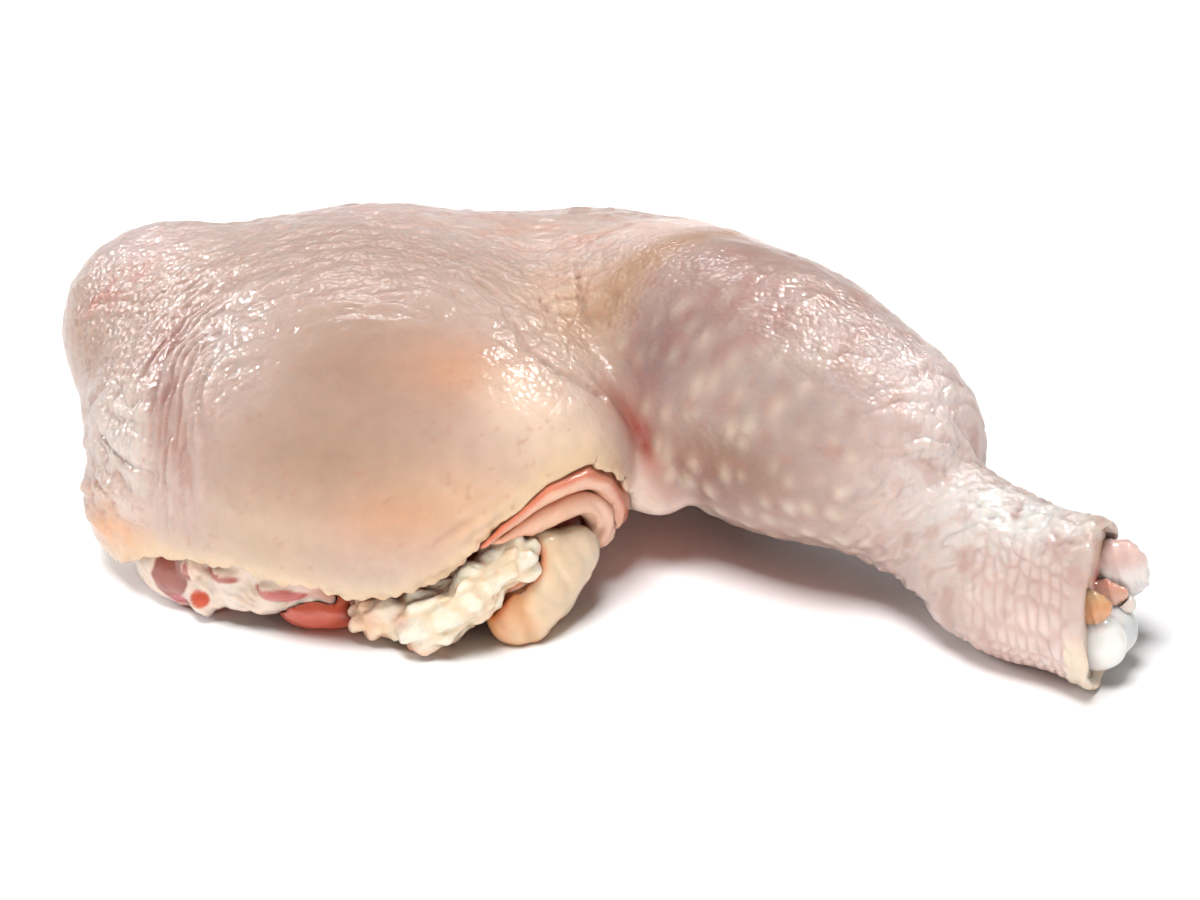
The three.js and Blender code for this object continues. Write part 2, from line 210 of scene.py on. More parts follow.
# %% [markdown]
# ## Melting shapes into each other
#
# `soft_union` is the heart of the model: where two distances are about equal it rounds the
# corner between them over `blend` millimetres. A small blend gives the tight crease between thigh
# and calf, a large one the smooth skin over the knee. `soft_cut` is the same thing for cutting.

# %% Soft joins
def soft_union(a, b, blend):
    share = np.clip(0.5 + 0.5 * (b - a) / blend, 0, 1)
    return b + (a - b) * share - blend * share * (1 - share)


def soft_cut(a, b, blend):
    return -soft_union(-a, -b, blend)


def smooth(value, low, high):
    share = np.clip((value - low) / (high - low), 0, 1)
    return share * share * (3 - 2 * share)


# %% Eggs and rods
def axes(along):
    long = unit(along)
    across = unit(np.cross([0, 0, 1], long))
    return np.stack([long, across, np.cross(long, across)])


def egg(points, middle, half, heading=0, along=None):
    if along is None:
        along = [math.cos(math.radians(heading)), math.sin(math.radians(heading)), 0]
    parts = (points - middle) @ axes(along).T / half
    size = np.sqrt((parts**2).sum(1))
    slope = np.sqrt(((parts / half) ** 2).sum(1))
    return size * (size - 1) / np.maximum(slope, 1e-6)


def eggs(points, lobes):
    first, *others = lobes
    nearest = egg(points, *first[:3])
    for middle, half, heading, blend in others:
        nearest = soft_union(nearest, egg(points, middle, half, heading), blend)
    return nearest


def rod(points, start, end, start_radius, end_radius):
    start, end = np.asarray(start, float), np.asarray(end, float)
    span = end - start
    share = np.clip((points - start) @ span / (span @ span), 0, 1)
    gap = np.linalg.norm(points - start - share[:, None] * span, axis=1)
    return gap - (start_radius + (end_radius - start_radius) * share)


ORIGIN = np.zeros((1, 3))
round_egg = egg(ORIGIN, (0, 0, 5), (2, 2, 2))[0]
print(f"from the origin to an egg of 2 mm whose middle is 5 mm above it: {round_egg:.1f} mm")


# %% [markdown]
# ## The leg's form
#
# The thigh is a low round cushion with the hip's hump at its back left, and the drumstick is a
# club that narrows to the ankle and flares again at the sawn joint. The numbers are those of the
# plain solids, so the dressed leg lies exactly where they do.

# %% Thigh and drumstick
KNEE = np.array([-3.7, 35.3, 26])
NECK = np.array([60.5, -22.8, 14.9])
HOCK = np.array([79.5, -34.9, 12.8])
SHIN = unit(HOCK - KNEE)
THIGH_LOBES = [  # middle, half lengths, heading, blend
    ((-40, 20.5, 18.6), (46.5, 47.4, 29), 0, 0),
    ((-35.3, 0, 21.4), (40.9, 32.6, 24.2), 0, 13),
    ((-75.3, 36.3, 25.6), (17.7, 20.9, 16.3), -20, 7.4),
    ((-65.1, 9.3, 15.8), (18.6, 27.9, 17.7), 16, 9.3),
    ((-70.7, -2.8, 11.2), (14.4, 12.1, 12.1), 0, 6.5),
    ((-64, -10, 6), (15, 13, 10), 0, 4),
    ((-1, 40, 24.4), (32, 24.2, 17.7), 0, 9.3),
    ((15, 32, 23), (20, 17, 18), -35, 8),
]
WEB = ((8, -0.5, 17), (9, 6, 7.5), -50)
SHANK_SLACK = ((61, -17.5, 18.5), (9, 6, 6))
ANKLE_PAD = ((65.5, -28.6, 10.5), (13, 10.3, 10.3))


def drumstick(points):
    muscle = egg(points, (27, 8.8, 27.5), (39.1, 23, 22.3), along=SHIN)
    muscle = soft_union(muscle, egg(points, (45.6, -1.9, 24.2), (18.1, 16.3, 15.8), along=SHIN), 5.6)
    shank = rod(points, (37.2, 0, 18.6), NECK, 11.2, 10.2)
    ankle = rod(points, NECK, HOCK + 5.6 * unit(HOCK - NECK), 10.2, 13.8)
    limb = soft_union(soft_union(muscle, shank, 3.7), ankle, 4.7)
    for lobe in (SHANK_SLACK, ANKLE_PAD):
        limb = soft_union(limb, egg(points, *lobe, along=SHIN), 4)
    return limb


def leg(points):
    thigh = eggs(points, THIGH_LOBES)
    blend = 4 + 9 * smooth(points[:, 1], 2, 20)
    whole = soft_union(thigh, drumstick(points), blend)
    return soft_union(whole, egg(points, *WEB), 3)


print(f"the knee's middle lies {-leg(KNEE[None])[0]:.1f} mm deep in the leg")


# %% [markdown]
# ## Random, but the same every time
#
# Skin is uneven at every scale. `noise` gives smooth random hills of a chosen size, and `cells`
# gives the distance to the nearest and next nearest of many scattered seeds, which is how bumps
# and scales are laid out. Both work from the place alone, so every run gives the same leg.

# %% Noise
def random_at(cell, seed):
    key = cell @ np.array([127.1, 311.7, 74.7][: cell.shape[1]]) + seed * 19.19
    return np.modf(np.abs(np.sin(key) * 43758.5453))[0]


def noise(points, size, seed=0):
    """Smooth random values from -1 to 1, with hills about `size` across."""
    places = points / size + 31.7
    corner = np.floor(places)
    share = places - corner
    share = share * share * (3 - 2 * share)
    value = np.zeros(len(points))
    for step in np.ndindex(*[2] * points.shape[1]):
        weight = np.where(step, share, 1 - share).prod(1)
        value += weight * random_at(corner + step, seed)
    return value * 2 - 1


# %% Cells
def cells(points, size, seed=0, jitter=0.8):
    """Distance to the nearest seed and the next, in units of `size`, and the nearest's number."""
    places = points / size + 31.7
    corner = np.floor(places)
    nearest = np.full(len(points), 9.0)
    following = np.full(len(points), 9.0)
    number = np.zeros(len(points))
    for step in np.ndindex(*[3] * points.shape[1]):
        cell = corner + step - 1
        centre = cell + 0.5
        for axis in range(points.shape[1]):
            centre[:, axis] += jitter * (random_at(cell, seed + axis) - 0.5)
        gap = np.linalg.norm(places - centre, axis=1)
        closer = gap < nearest
        following = np.where(closer, nearest, np.minimum(following, gap))
        number = np.where(closer, random_at(cell, seed + 7), number)
        nearest = np.where(closer, gap, nearest)
    return nearest, following, number


# %% Near a place or a line
def near(points, place, reach):
    """1 at a place, falling off softly to 0 beyond `reach`, which may differ by axis."""
    gap = (points - np.asarray(place, float)) / reach
    return np.exp(-(gap**2).sum(1))


def near_line(points, bends, reach):
    """The same along a line of straight stretches."""
    closest = np.full(len(points), np.inf)
    for start, end in zip(bends[:-1], bends[1:]):
        closest = np.minimum(closest, rod(points, start, end, 0, 0))
    return np.exp(-((closest / reach) ** 2))


halfway = near(ORIGIN, (1, 0, 0), (2, 2, 2))[0]
print(f"near a place, half its reach away: {halfway:.2f}")


# %% [markdown]
# ## From a distance to a mesh
#
# The space round a piece is divided into small cubes. Every cube that the surface passes through
# gets one point, and neighbouring points are joined into squares. That is called surface nets. It
# gives an even mesh of squares with no poles and no seams, closed by its nature, which is what
# fine relief needs. Afterwards each point is pushed onto the surface itself.

# %% Values in space
BLOCK = 3  # cubes along a block's side


def sampled(distance, ticks, cell):
    """Far from the surface one value for a block of cubes is enough; near it each is worked out."""
    middles = [t[::BLOCK] + cell * (BLOCK - 1) / 2 for t in ticks]
    blocks = np.stack(np.meshgrid(*middles, indexing="ij"), -1)
    rough = distance(blocks.reshape(-1, 3)).reshape(blocks.shape[:3])
    field = rough.repeat(BLOCK, 0).repeat(BLOCK, 1).repeat(BLOCK, 2)
    field = field[: len(ticks[0]), : len(ticks[1]), : len(ticks[2])].copy()
    close = np.argwhere(np.abs(field) < cell * BLOCK + 1.5)
    places = np.stack([t[close[:, axis]] for axis, t in enumerate(ticks)], 1)
    field[tuple(close.T)] = distance(places)
    return field


# %% Points where the surface passes
def along_axis(array, axis, low, high):
    part = [slice(None)] * 3
    part[axis] = slice(low, high)
    return array[tuple(part)]


def net_points(field, inside):
    """For each cube, the mean of the places where the surface crosses its edges."""
    shape = np.array(field.shape) - 1
    total = np.zeros([*shape, 3])
    count = np.zeros(shape)
    for axis in range(3):
        start, end = along_axis(field, axis, 0, -1), along_axis(field, axis, 1, None)
        crossed = along_axis(inside, axis, 0, -1) != along_axis(inside, axis, 1, None)
        share = np.where(crossed, start / np.where(crossed, start - end, 1), 0)
        others = [other for other in range(3) if other != axis]
        for offset in np.ndindex(2, 2):
            part = [slice(None)] * 3
            for other, shift in zip(others, offset):
                part[other] = slice(shift, shape[other] + shift)
            hit = crossed[tuple(part)]
            total[..., axis] += np.where(hit, share[tuple(part)], 0)
            for other, shift in zip(others, offset):
                total[..., other] += hit * shift
            count += hit
    return total, count


# %% Squares between the points
def net_squares(inside, number):
    """One square round each crossed edge, joining the points of the four cubes that share it."""
    squares = []
    for axis in range(3):
        others = [other for other in range(3) if other != axis]
        before, after = along_axis(inside, axis, 0, -1), along_axis(inside, axis, 1, None)
        edges = np.argwhere(before != after)
        going_out = before[tuple(edges.T)]
        corners = []
        for shift in ((1, 1), (0, 1), (0, 0), (1, 0)):
            cube = edges.copy()
            cube[:, others] -= shift
            corners.append(number[tuple(cube.T)])
        square = np.stack(corners, 1)
        turned = ~going_out if axis != 1 else going_out
        square[turned] = square[turned][:, ::-1]
        squares.append(square)
    return np.concatenate(squares)


def surface_net(distance, low, high, cell):
    ticks = [np.arange(a, b + cell, cell) for a, b in zip(low, high)]
    field = sampled(distance, ticks, cell)
    inside = field < 0
    total, count = net_points(field, inside)
    crossed = count > 0
    number = np.full(count.shape, -1)
    number[crossed] = np.arange(crossed.sum())
    points = (np.argwhere(crossed) + total[crossed] / count[crossed][:, None]) * cell + low
    return points, net_squares(inside, number)


# %% Push the points onto the surface
FURTHEST = 1.0  # millimetres that a point may be moved at once


def settled(distance, points, step=0.05):
    """The points pushed onto the surface, and the direction straight out at each."""
    here = distance(points)
    out = np.stack([distance(points + step * shift) - here for shift in np.eye(3)], 1) / step
    slope = np.maximum(np.linalg.norm(out, axis=1), 1e-9)
    out /= slope[:, None]
    for _ in range(2):
        move = np.clip(distance(points) / np.maximum(slope, 1), -FURTHEST, FURTHEST)
        points = points - out * move[:, None]
    return points, out


# %% [markdown]
# ## Making a piece
#
# Every piece is made in the same five steps: net, finer squares where there is fine relief,
# settle, relief, paint. `refine` halves the squares wherever a mask asks for it, so that small
# folds get points and plain areas don't waste any.

# %% A mesh and its points
def mesh_from(name, points, squares):
    mesh = bpy.data.meshes.new(name)
    mesh.from_pydata(points.tolist(), [], squares.tolist())
    mesh.validate()
    return mesh


def points_of(mesh):
    flat = np.empty(len(mesh.vertices) * 3, np.float32)
    mesh.vertices.foreach_get("co", flat)
    return flat.reshape(-1, 3).astype(float)


def set_points(mesh, points):
    mesh.vertices.foreach_set("co", points.astype(np.float32).ravel())
    mesh.update()


# %% Finer squares
def refine(mesh, wanted):
    body = bmesh.new()
    body.from_mesh(mesh)
    edges = [e for e in body.edges if wanted[e.verts[0].index] and wanted[e.verts[1].index]]
    bmesh.ops.subdivide_edges(body, edges=edges, cuts=1, use_grid_fill=True)
    bmesh.ops.triangulate(body, faces=[f for f in body.faces if len(f.verts) > 4])
    body.to_mesh(mesh)
    body.free()


# %% Shape a piece
def shaped(name, distance, low, high, cell, relief=None, finer=()):
    points, squares = surface_net(distance, low, high, cell)
    mesh = mesh_from(name, points, squares)
    for wanted in finer:
        refine(mesh, wanted(points_of(mesh)))
    points, out = settled(distance, points_of(mesh))
    if relief is not None:
        points = points + out * relief(points)[:, None]
    set_points(mesh, points)
    return mesh


# %% [markdown]
# ## Paint
#
# Raw skin has no single colour. It is cream over fat, mauve over dark muscle, peach where the
# fat is thin and red where a vessel broke. Each piece therefore has a ground colour and a few
# named places that shift it softly, all stored with the mesh's points. Some of these places are
# painted light and shade: darker in creases, gaps and underneath, paler on tops and crests.
# The material reads that paint and adds what is too fine for points.

# %% Paint on points
PAST_WHITE = 2.1  # how many times as bright as white paper a white thing would look here


def tone(red, green, blue):
    """A colour as seen on a screen, turned into a paint that looks so under this light."""
    seen = np.array([red, green, blue]) / 255
    return np.where(seen <= 0.04045, seen / 12.92, ((seen + 0.055) / 1.055) ** 2.4) / PAST_WHITE


def tint(paint, share, colour):
    return paint + np.clip(share, 0, 1)[:, None] * (colour - paint)


def store(mesh, name, values):
    values = np.asarray(values, np.float32)
    if values.ndim == 1:
        mesh.attributes.new(name, "FLOAT", "POINT").data.foreach_set("value", values)
        return
    rgba = np.ones((len(values), 4), np.float32)
    rgba[:, :3] = np.clip(values, 0, 1)
    mesh.attributes.new(name, "FLOAT_COLOR", "POINT").data.foreach_set("color", rgba.ravel())


print(f"the paint that looks white here: {tone(255, 255, 255)[0]:.2f}")


# %% [markdown]
# ## Wet flesh
#
# All the pieces share one recipe: light that scatters under the surface, a thin coat of water
# over it, and two layers of small bumps that break the shine into glints. What differs from
# piece to piece is how far light scatters, how wet it is and how coarse the bumps are.

# %% Nodes
def wire(tree, kind, **inputs):
    node = tree.nodes.new(kind)
    for name, value in inputs.items():
        socket = node.inputs[name.replace("_", " ")]
        if isinstance(value, bpy.types.NodeSocket):
            tree.links.new(value, socket)
        else:
            socket.default_value = value
    return node


# %% Blotches
def mottled(tree, paint, place, size, spread):
    """The paint made a little darker and lighter in blotches of the given size."""
    blotch = wire(tree, "ShaderNodeTexNoise", Vector=place, Scale=1000 / size, Detail=5.0)
    share = wire(tree, "ShaderNodeMapRange", Value=blotch.outputs["Fac"])
    share.inputs["From Min"].default_value = 0.3
    share.inputs["From Max"].default_value = 0.7
    share.inputs["To Min"].default_value = 1 - spread
    share.inputs["To Max"].default_value = 1 + spread
    scaled = tree.nodes.new("ShaderNodeVectorMath")
    scaled.operation = "SCALE"
    tree.links.new(paint, scaled.inputs[0])
    tree.links.new(share.outputs["Result"], scaled.inputs["Scale"])
    return scaled.outputs["Vector"]


# %% Wet flesh
SCATTER = (1.0, 0.42, 0.26)  # red light travels furthest in flesh


def wet_flesh(name, scatter=1.0, coat=0.6, coat_roughness=0.1, roughness=0.5, grain=1.1,
              grain_depth=0.16, fine=0.5, fine_depth=0.07, blotch=3.0, spread=0.06, weight=0.6,
              uneven=False):
    material = bpy.data.materials.new(name)
    material.use_nodes = True
    tree = material.node_tree
    look = tree.nodes["Principled BSDF"]
    place = tree.nodes.new("ShaderNodeTexCoord").outputs["Object"]
    paint = tree.nodes.new("ShaderNodeAttribute")
    paint.attribute_name = "paint"
    colour = mottled(tree, paint.outputs["Color"], place, blotch, spread)
    tree.links.new(colour, look.inputs["Base Color"])
    look.inputs["Roughness"].default_value = roughness
    look.inputs["Subsurface Weight"].default_value = weight
    look.inputs["Subsurface Radius"].default_value = SCATTER
    look.inputs["Subsurface Scale"].default_value = scatter * MM
    look.inputs["Coat Weight"].default_value = coat
    look.inputs["Coat Roughness"].default_value = coat_roughness
    pebbles = wire(tree, "ShaderNodeTexVoronoi", Vector=place, Scale=1000 / grain)
    pebbles.feature = "F1"
    first = wire(tree, "ShaderNodeBump", Height=pebbles.outputs["Distance"], Strength=1.0)
    first.inputs["Distance"].default_value = grain_depth * MM
    first.invert = True
    ripple = wire(tree, "ShaderNodeTexNoise", Vector=place, Scale=1000 / fine, Detail=3.0)
    second = wire(tree, "ShaderNodeBump", Height=ripple.outputs["Fac"], Strength=1.0,
                  Normal=first.outputs["Normal"])
    second.inputs["Distance"].default_value = fine_depth * MM
    if uneven:
        share = tree.nodes.new("ShaderNodeAttribute")
        share.attribute_name = "graininess"
        tree.links.new(share.outputs["Fac"], first.inputs["Strength"])
        tree.links.new(share.outputs["Fac"], second.inputs["Strength"])
    tree.links.new(second.outputs["Normal"], look.inputs["Normal"])
    tree.links.new(second.outputs["Normal"], look.inputs["Coat Normal"])
    print(f"finish {name}: light scatters {scatter} mm, grain {grain} mm")
    return material


# %% Hand a piece over
def place_piece(mesh, material, slot, *nodes):
    points = points_of(mesh)
    print(f"{mesh.name}: {len(mesh.polygons)} faces, lowest point {points[:, 2].min():.1f} mm")
    points[:, 2] = np.maximum(points[:, 2], 0)
    set_points(mesh, to_metres(points))
    mesh.shade_smooth()
    mesh.materials.append(material)
    piece = bpy.data.objects.new(mesh.name, mesh)
    bpy.context.collection.objects.link(piece)
    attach(piece, "root")
    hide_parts(*nodes)
    flesh.objects.link(piece)
    return piece


# %% [markdown]
# ## The skin's outline
#
# Skin covers the leg like a sock with two openings. One is the ring at the sawn ankle. The other
# is underneath: on the viewer's side the skin's free edge, the hem, runs from the hip over the cut
# meat, rises over the folds at the knee pit and comes down again at the web. The hem is knobbly
# because a rim of fat clings to it. It could be drawn on the mesh with a knife tool; as a line in
# front view it stays easy to move. At the knee pit it rises a little higher than on the plain
# solids.

# %% The free edge
HEM = np.array([
    (-93, 1.4), (-85.6, 2.3), (-80.9, 3.7), (-77.2, 7), (-72.5, 10.7), (-67, 12.1), (-57.7, 13),
    (-47.4, 12.3), (-40, 10.2), (-32.6, 10.8), (-25.1, 14.5), (-15.8, 23), (-8.4, 27.2),
    (-1.9, 27.2), (2.3, 23.4), (4.7, 15.8), (5.2, -40),
])
HEM_BACK = -2.8


def hem_height(points):
    return np.interp(points[:, 0], HEM[:, 0], HEM[:, 1])


def hem_level(points):
    """Millimetres above the free edge as the viewer's side shows it, negative below."""
    gap = np.full(len(points), np.inf)
    for start, end in zip(HEM[:-1], HEM[1:]):
        gap = np.minimum(gap, rod(points[:, [0, 2]], start, end, 0, 0))
    return np.where(points[:, 2] < hem_height(points), -gap, gap)


def below_hem(points):
    """Negative in the space in front of and below the free edge."""
    knobbly = smooth(-points[:, 0], 10, 20)
    level = hem_level(points) - 0.5 * noise(points[:, :1], 5.0, 3)
    level = level - knobbly * (0.3 * noise(points[:, :1], 2.6, 4) + 0.16 * noise(points[:, :1], 1.1, 5))
    return soft_cut(level, points[:, 1] - HEM_BACK, 1.0)


def hem_share(points, reach):
    """1 at the free edge and 0 beyond `reach` millimetres above or below it."""
    height = np.interp(points[:, 0], HEM[:-1, 0], HEM[:-1, 1])
    front = smooth(-points[:, 1], -6, 2) * (points[:, 0] < 5)
    return front * np.exp(-(((points[:, 2] - height) / reach) ** 2))


hem_length = np.linalg.norm(np.diff(HEM[:-1], axis=0), axis=1).sum()
print(f"the hem is {hem_length:.0f} mm long")


# %% The skin's outside and inside
SKIN = 2.2
CUT_FACING = unit([0.93, -0.34, 0.14])


def past_cut(points, inward=0.0):
    """Positive beyond the sawn end."""
    return (points - HOCK) @ CUT_FACING + inward


def skin_outside(points):
    form = leg(points) + 0.45 * noise(points, 17.0, 1)
    form = soft_cut(form, -below_hem(points), 1.4)
    form = soft_cut(form, past_cut(points) + 0.6 * noise(points, 4.0, 2), 0.9)
    return soft_cut(form, -points[:, 2], 0.8)


def thickness(points):
    """Even skin, thinner towards the sawn end."""
    return SKIN - 1.2 * smooth(past_cut(points), -7, 0)


def skin_inside(points):
    return soft_cut(leg(points) + thickness(points), -4 - points[:, 2], 0.5)


# %% [markdown]
# ## Where on the drumstick
#
# Feather pits, rings and scales are laid out along the shin and round it. `shin_place` gives the
# distance along the shin from the knee and the angle round it: 0 on top, a right angle below
# zero on the viewer's side, and the seam between plus and minus on the underside.

# %% Along the shin and round it
def shin_place(points):
    long, across, top = axes(SHIN)
    from_knee = points - KNEE
    return from_knee @ long, np.arctan2(from_knee @ across, from_knee @ top)


def on_drumstick(points):
    return smooth(eggs(points, THIGH_LOBES) - drumstick(points), -0.5, 4)


# %% [markdown]
# ## Folds of the hip
#
# At the hip the skin is gathered. Folds run up the thigh's left edge and turn over its top, all
# bent round one middle, like ripples round a stone. Real folds aren't evenly spaced: they fork,
# fade and end. `billows` gives that. It takes smooth noise, stretched along the folds, and folds
# it up at zero, so that round ridges meet in sharp creases.

# %% Hip folds
def wavy(points, amount, seed):
    return amount * (noise(points, 8.0, seed) + 0.5 * noise(points, 3.2, seed + 1))


def billows(across, along, seed):
    """Ridges about one unit wide, from -0.4 in the creases to 0.6 on the crests."""
    field = np.stack([across, along], 1)
    value = noise(field, 1.0, seed) + 0.3 * noise(field, 0.43, seed + 1)
    return np.abs(value) ** 0.7 - 0.4


def hip_round(points):
    """Distance from the middle of the hip's folds, and the way round it, both in millimetres."""
    right, back = points[:, 0] + 40, points[:, 1] + 16
    return np.hypot(right, back), 31 * np.arctan2(back, -right)


def hip_folds(points):
    outward, way_round = hip_round(points)
    folds = billows(outward / 1.25 + wavy(points, 0.35, 10), way_round / 9, 12)
    side = near(points, (-69.5, -4, 37), (9, 20, 14)) + 0.6 * near(points, (-67, -20, 28), (7, 8, 9))
    over = 0.45 * near(points, (-60, 16, 46), (18, 16, 9))
    return 1.9 * folds * np.clip(side + over, 0, 1)


def flank_wrinkles(points):
    folds = billows(points[:, 2] / 2.2 + wavy(points, 0.45, 14), points[:, 1] / 6, 16)
    return 2.2 * folds * near(points, (-82, -6, 23), (11, 18, 12))


def hip_streaks(points):
    """Short fine ridges across the crest of the innermost fold."""
    across = points[:, 1] - 0.37 * points[:, 0] + points[:, 2] * 0.3
    folds = billows(across / 0.9 + wavy(points, 0.3, 18), points[:, 0] / 4, 20)
    return 1.0 * folds * near(points, (-61, -7, 42), (5, 10, 6))


def hump_pebbles(points):
    nearest, _, _ = cells(points, 1.5, 22)
    hump = near(points, (-81, 24, 35), (13, 21, 15))
    creases = billows(points[:, 2] / 3 + points[:, 1] / 6 + wavy(points, 0.4, 24),
                      points[:, 1] / 7, 26)
    return hump * (0.7 * (0.5 - nearest) + 0.8 * creases)


# %% [markdown]
# ## Ripples on top, creases at the knee
#
# The thigh's top carries shallow wavy ripples. Towards the knee they slant and grow into small
# cushions that overlap like shingles. A few long creases cross them. Each of those is a line of
# its own, given by the places it passes.

# %% Thigh top and knee
KNEE_CREASES = [
    [(-15.2, 3, 45.1), (-11.8, -5, 42.6), (-6.9, -7.1, 39.5), (-3.2, -6.3, 37.2), (0.5, -6, 33.9)],
    [(-3.8, 18.1, 43.4), (-2.8, 10.6, 40.6), (-1.2, 8, 39.3), (2, 10.1, 42), (2.5, 12.2, 43.5)],
    [(-9.4, 11, 42.8), (-7.1, 6.1, 41.6)],
    [(-0.5, -2.9, 35.9), (2.8, -4.3, 31.8), (7.1, -5.7, 22.4)],
    [(-22, 12, 46.5), (-17, 7, 46), (-13, 5.5, 45)],
]
CREASE_WIDTH, CREASE_DEPTH = 0.6, 0.8
HEM_CREASES = [
    [(-31, -32, 19), (-24, -31.7, 23.4), (-15, -28, 28.2), (-8, -22.6, 30.6)],
    [(-27, -31, 17.5), (-20, -30.5, 22.4), (-13, -27, 26.4)],
]


# %% Ripples, cushions and creases
def thigh_ripples(points):
    slant = 0.42 * np.maximum(0, points[:, 0] + 32)
    folds = billows((points[:, 1] + slant) / 2.1 + wavy(points, 0.5, 28), points[:, 0] / 6, 30)
    top = smooth(points[:, 2], 32, 43) * smooth(points[:, 1], -26, 4)
    past_knee = smooth(points[:, 0] - 0.9 * points[:, 1], -30, -12)
    return 0.45 * folds * top * (1 - past_knee)


def knee_cushions(points):
    slanted = points @ np.array([[0.9, -0.4, 0], [0.45, 0.9, 0], [0, 0, 1]]) / (1.5, 1.0, 1.0)
    nearest, following, number = cells(slanted, 3.2, 32)
    area = near(points, (-4, 16, 43), (10, 15, 8)) + 0.5 * near(points, (-14, 0, 43), (9, 8, 7))
    grooves = np.exp(-(((following - nearest) / 0.16) ** 2))
    return np.clip(area, 0, 1) * (0.2 + 0.3 * number - 0.45 * grooves - 0.35 * nearest)


def knee_creases(points):
    depth = np.zeros(len(points))
    for bends in KNEE_CREASES:
        depth = np.maximum(depth, near_line(points, bends, CREASE_WIDTH))
    return -CREASE_DEPTH * depth


def small_wrinkles(points):
    """Short fine ones on the thigh's shoulder, and two long shallow ones beside the hem."""
    folds = billows((points[:, 1] + 0.5 * points[:, 0]) / 1.1 + wavy(points, 0.4, 66),
                    points[:, 0] / 4, 68)
    shoulder = near(points, (-19, -12, 44), (9, 6, 5)) + 0.5 * near(points, (-9, -15, 38), (6, 7, 6))
    beside_hem = np.maximum(*(near_line(points, bends, 0.7) for bends in HEM_CREASES))
    return 0.35 * folds * shoulder - 0.4 * beside_hem


print(f"{len(KNEE_CREASES)} long creases at the knee, {len(HEM_CREASES)} beside the hem")


# %% [markdown]
# ## Feather pits, rings and scales on the drumstick
#
# Every feather leaves a small pale mound, about 4 mm from the next. Where the calf runs into
# the shank the skin is slack and lies in rings. Below them it turns into the scales of the
# foot: long ones side by side on the viewer's side, small round ones above and below.

# %% The calf's edge and its feather mounds
CALF_STARTS = 21  # along the shin, where the dark calf muscle begins to show


def past_calf_edge(points):
    """Millimetres beyond the curved line where the calf muscle begins."""
    along, _ = shin_place(points)
    return along - CALF_STARTS - np.minimum(0.036 * (points[:, 1] - 11) ** 2, 8)


def calf_share(points):
    ragged = past_calf_edge(points) + 1.2 * noise(points, 6.0, 34)
    return on_drumstick(points) * smooth(ragged, -1.5, 2)


MOUND_SPACING = 4.1
CALF_RADIUS = 15


def feather_mounds(points):
    along, angle = shin_place(points)
    grid = np.stack([along, angle * CALF_RADIUS], 1)
    nearest, _, number = cells(grid, MOUND_SPACING, 36, 0.75)
    mound = np.exp(-((nearest / (0.2 + 0.14 * number)) ** 2)) * (0.45 + 0.6 * number)
    side = np.exp(-(((angle + 1.45) / 0.95) ** 2))
    return mound * calf_share(points) * (1 - smooth(along, 68, 80)) * (0.2 + 0.8 * side)


# %% Crinkles and rings
def calf_crinkles(points):
    """Fine uneven skin where the calf's top catches the light."""
    along, angle = shin_place(points)
    folds = billows(along / 2.2 + wavy(points, 0.5, 38), angle * 6, 40)
    return 0.6 * folds * np.exp(-((angle / 0.9) ** 2)) * smooth(along, 28, 42)


def shank_rings(points):
    along, angle = shin_place(points)
    folds = billows(along / 2.6 - 3.6 * angle + wavy(points, 0.5, 42), angle * 1.5 + along / 9, 44)
    area = smooth(along, 60, 74) * (1 - smooth(along, 92, 100))
    return 0.85 * folds * area


def ankle_crinkles(points):
    along, angle = shin_place(points)
    folds = billows(along / 2.3 - angle * 2.4 + wavy(points, 0.4, 46), angle * 4 + along / 4, 48)
    area = smooth(along, 84, 92) * (1 - smooth(along, 104, 112)) * smooth(angle, -1.15, -0.6)
    return 0.7 * folds * area


# %% Scales
LONG_SCALES_AT = -1.55  # angle round the shin
SCALE_ROW = 1.8  # millimetres from one row of scales to the next
ANKLE_RADIUS = 12.5
turns = np.linspace(-math.pi, math.pi, 200)
scale_length = 2.0 + 3.4 * np.exp(-(((turns - LONG_SCALES_AT) / 0.33) ** 2))
scale_count = np.cumsum(ANKLE_RADIUS / scale_length) * (turns[1] - turns[0])
print(f"{scale_count[-1]:.0f} scales go round the ankle")


def scales(points):
    """0 in the lines between scales and 1 on their middles, and how scaly the place is."""
    _, angle = shin_place(points)
    back = -past_cut(points) + 0.5 * noise(points, 7.0, 51)
    grid = np.stack([back / SCALE_ROW, np.interp(angle, turns, scale_count)], 1)
    nearest, following, _ = cells(grid, 1.0, 49, 0.5)
    pillow = smooth(following - nearest, 0, 0.55)
    area = smooth(-back, -23, -16) * (1 - 0.85 * smooth(angle, -1.0, -0.5))
    area = area * smooth(back, 2.0, 3.2)
    return pillow, area


# %% [markdown]
# ## The whole skin's relief
#
# All the layers are added up. `unevenness` is under them everywhere, also on the sides that the
# viewer doesn't see. Near the floor the skin is pressed flat, so the relief fades out there.
# Fine squares cost time and memory, so two masks say where the mesh gets them: once for all
# that the viewer sees, and once more for the places with the finest folds.

# %% Unevenness, back and hem
def unevenness(points):
    plain = 0.22 * noise(points, 6.5, 50) + 0.1 * noise(points, 2.6, 51)
    slack = smooth(points[:, 1], 30, 55) * (1 - 0.6 * on_drumstick(points))
    return plain + 0.6 * slack * billows(points[:, 2] / 3 + wavy(points, 0.5, 52),
                                         points[:, 0] / 9, 54)


def back_pits(points):
    """Feather mounds on the thigh's far side and along its top edge."""
    nearest, _, number = cells(points, 4.6, 58, 0.8)
    return smooth(points[:, 1], 20, 34) * np.exp(-((nearest / 0.24) ** 2)) * (0.3 + 0.7 * number)


def hem_knobs(points):
    nearest, _, _ = cells(points, 2.3, 56)
    return 1.2 * hem_share(points, 2.2) * smooth(-points[:, 0], 10, 20) * (0.4 - nearest)


# %% Add the layers
DEEPEST, HIGHEST = -1.3, 1.1


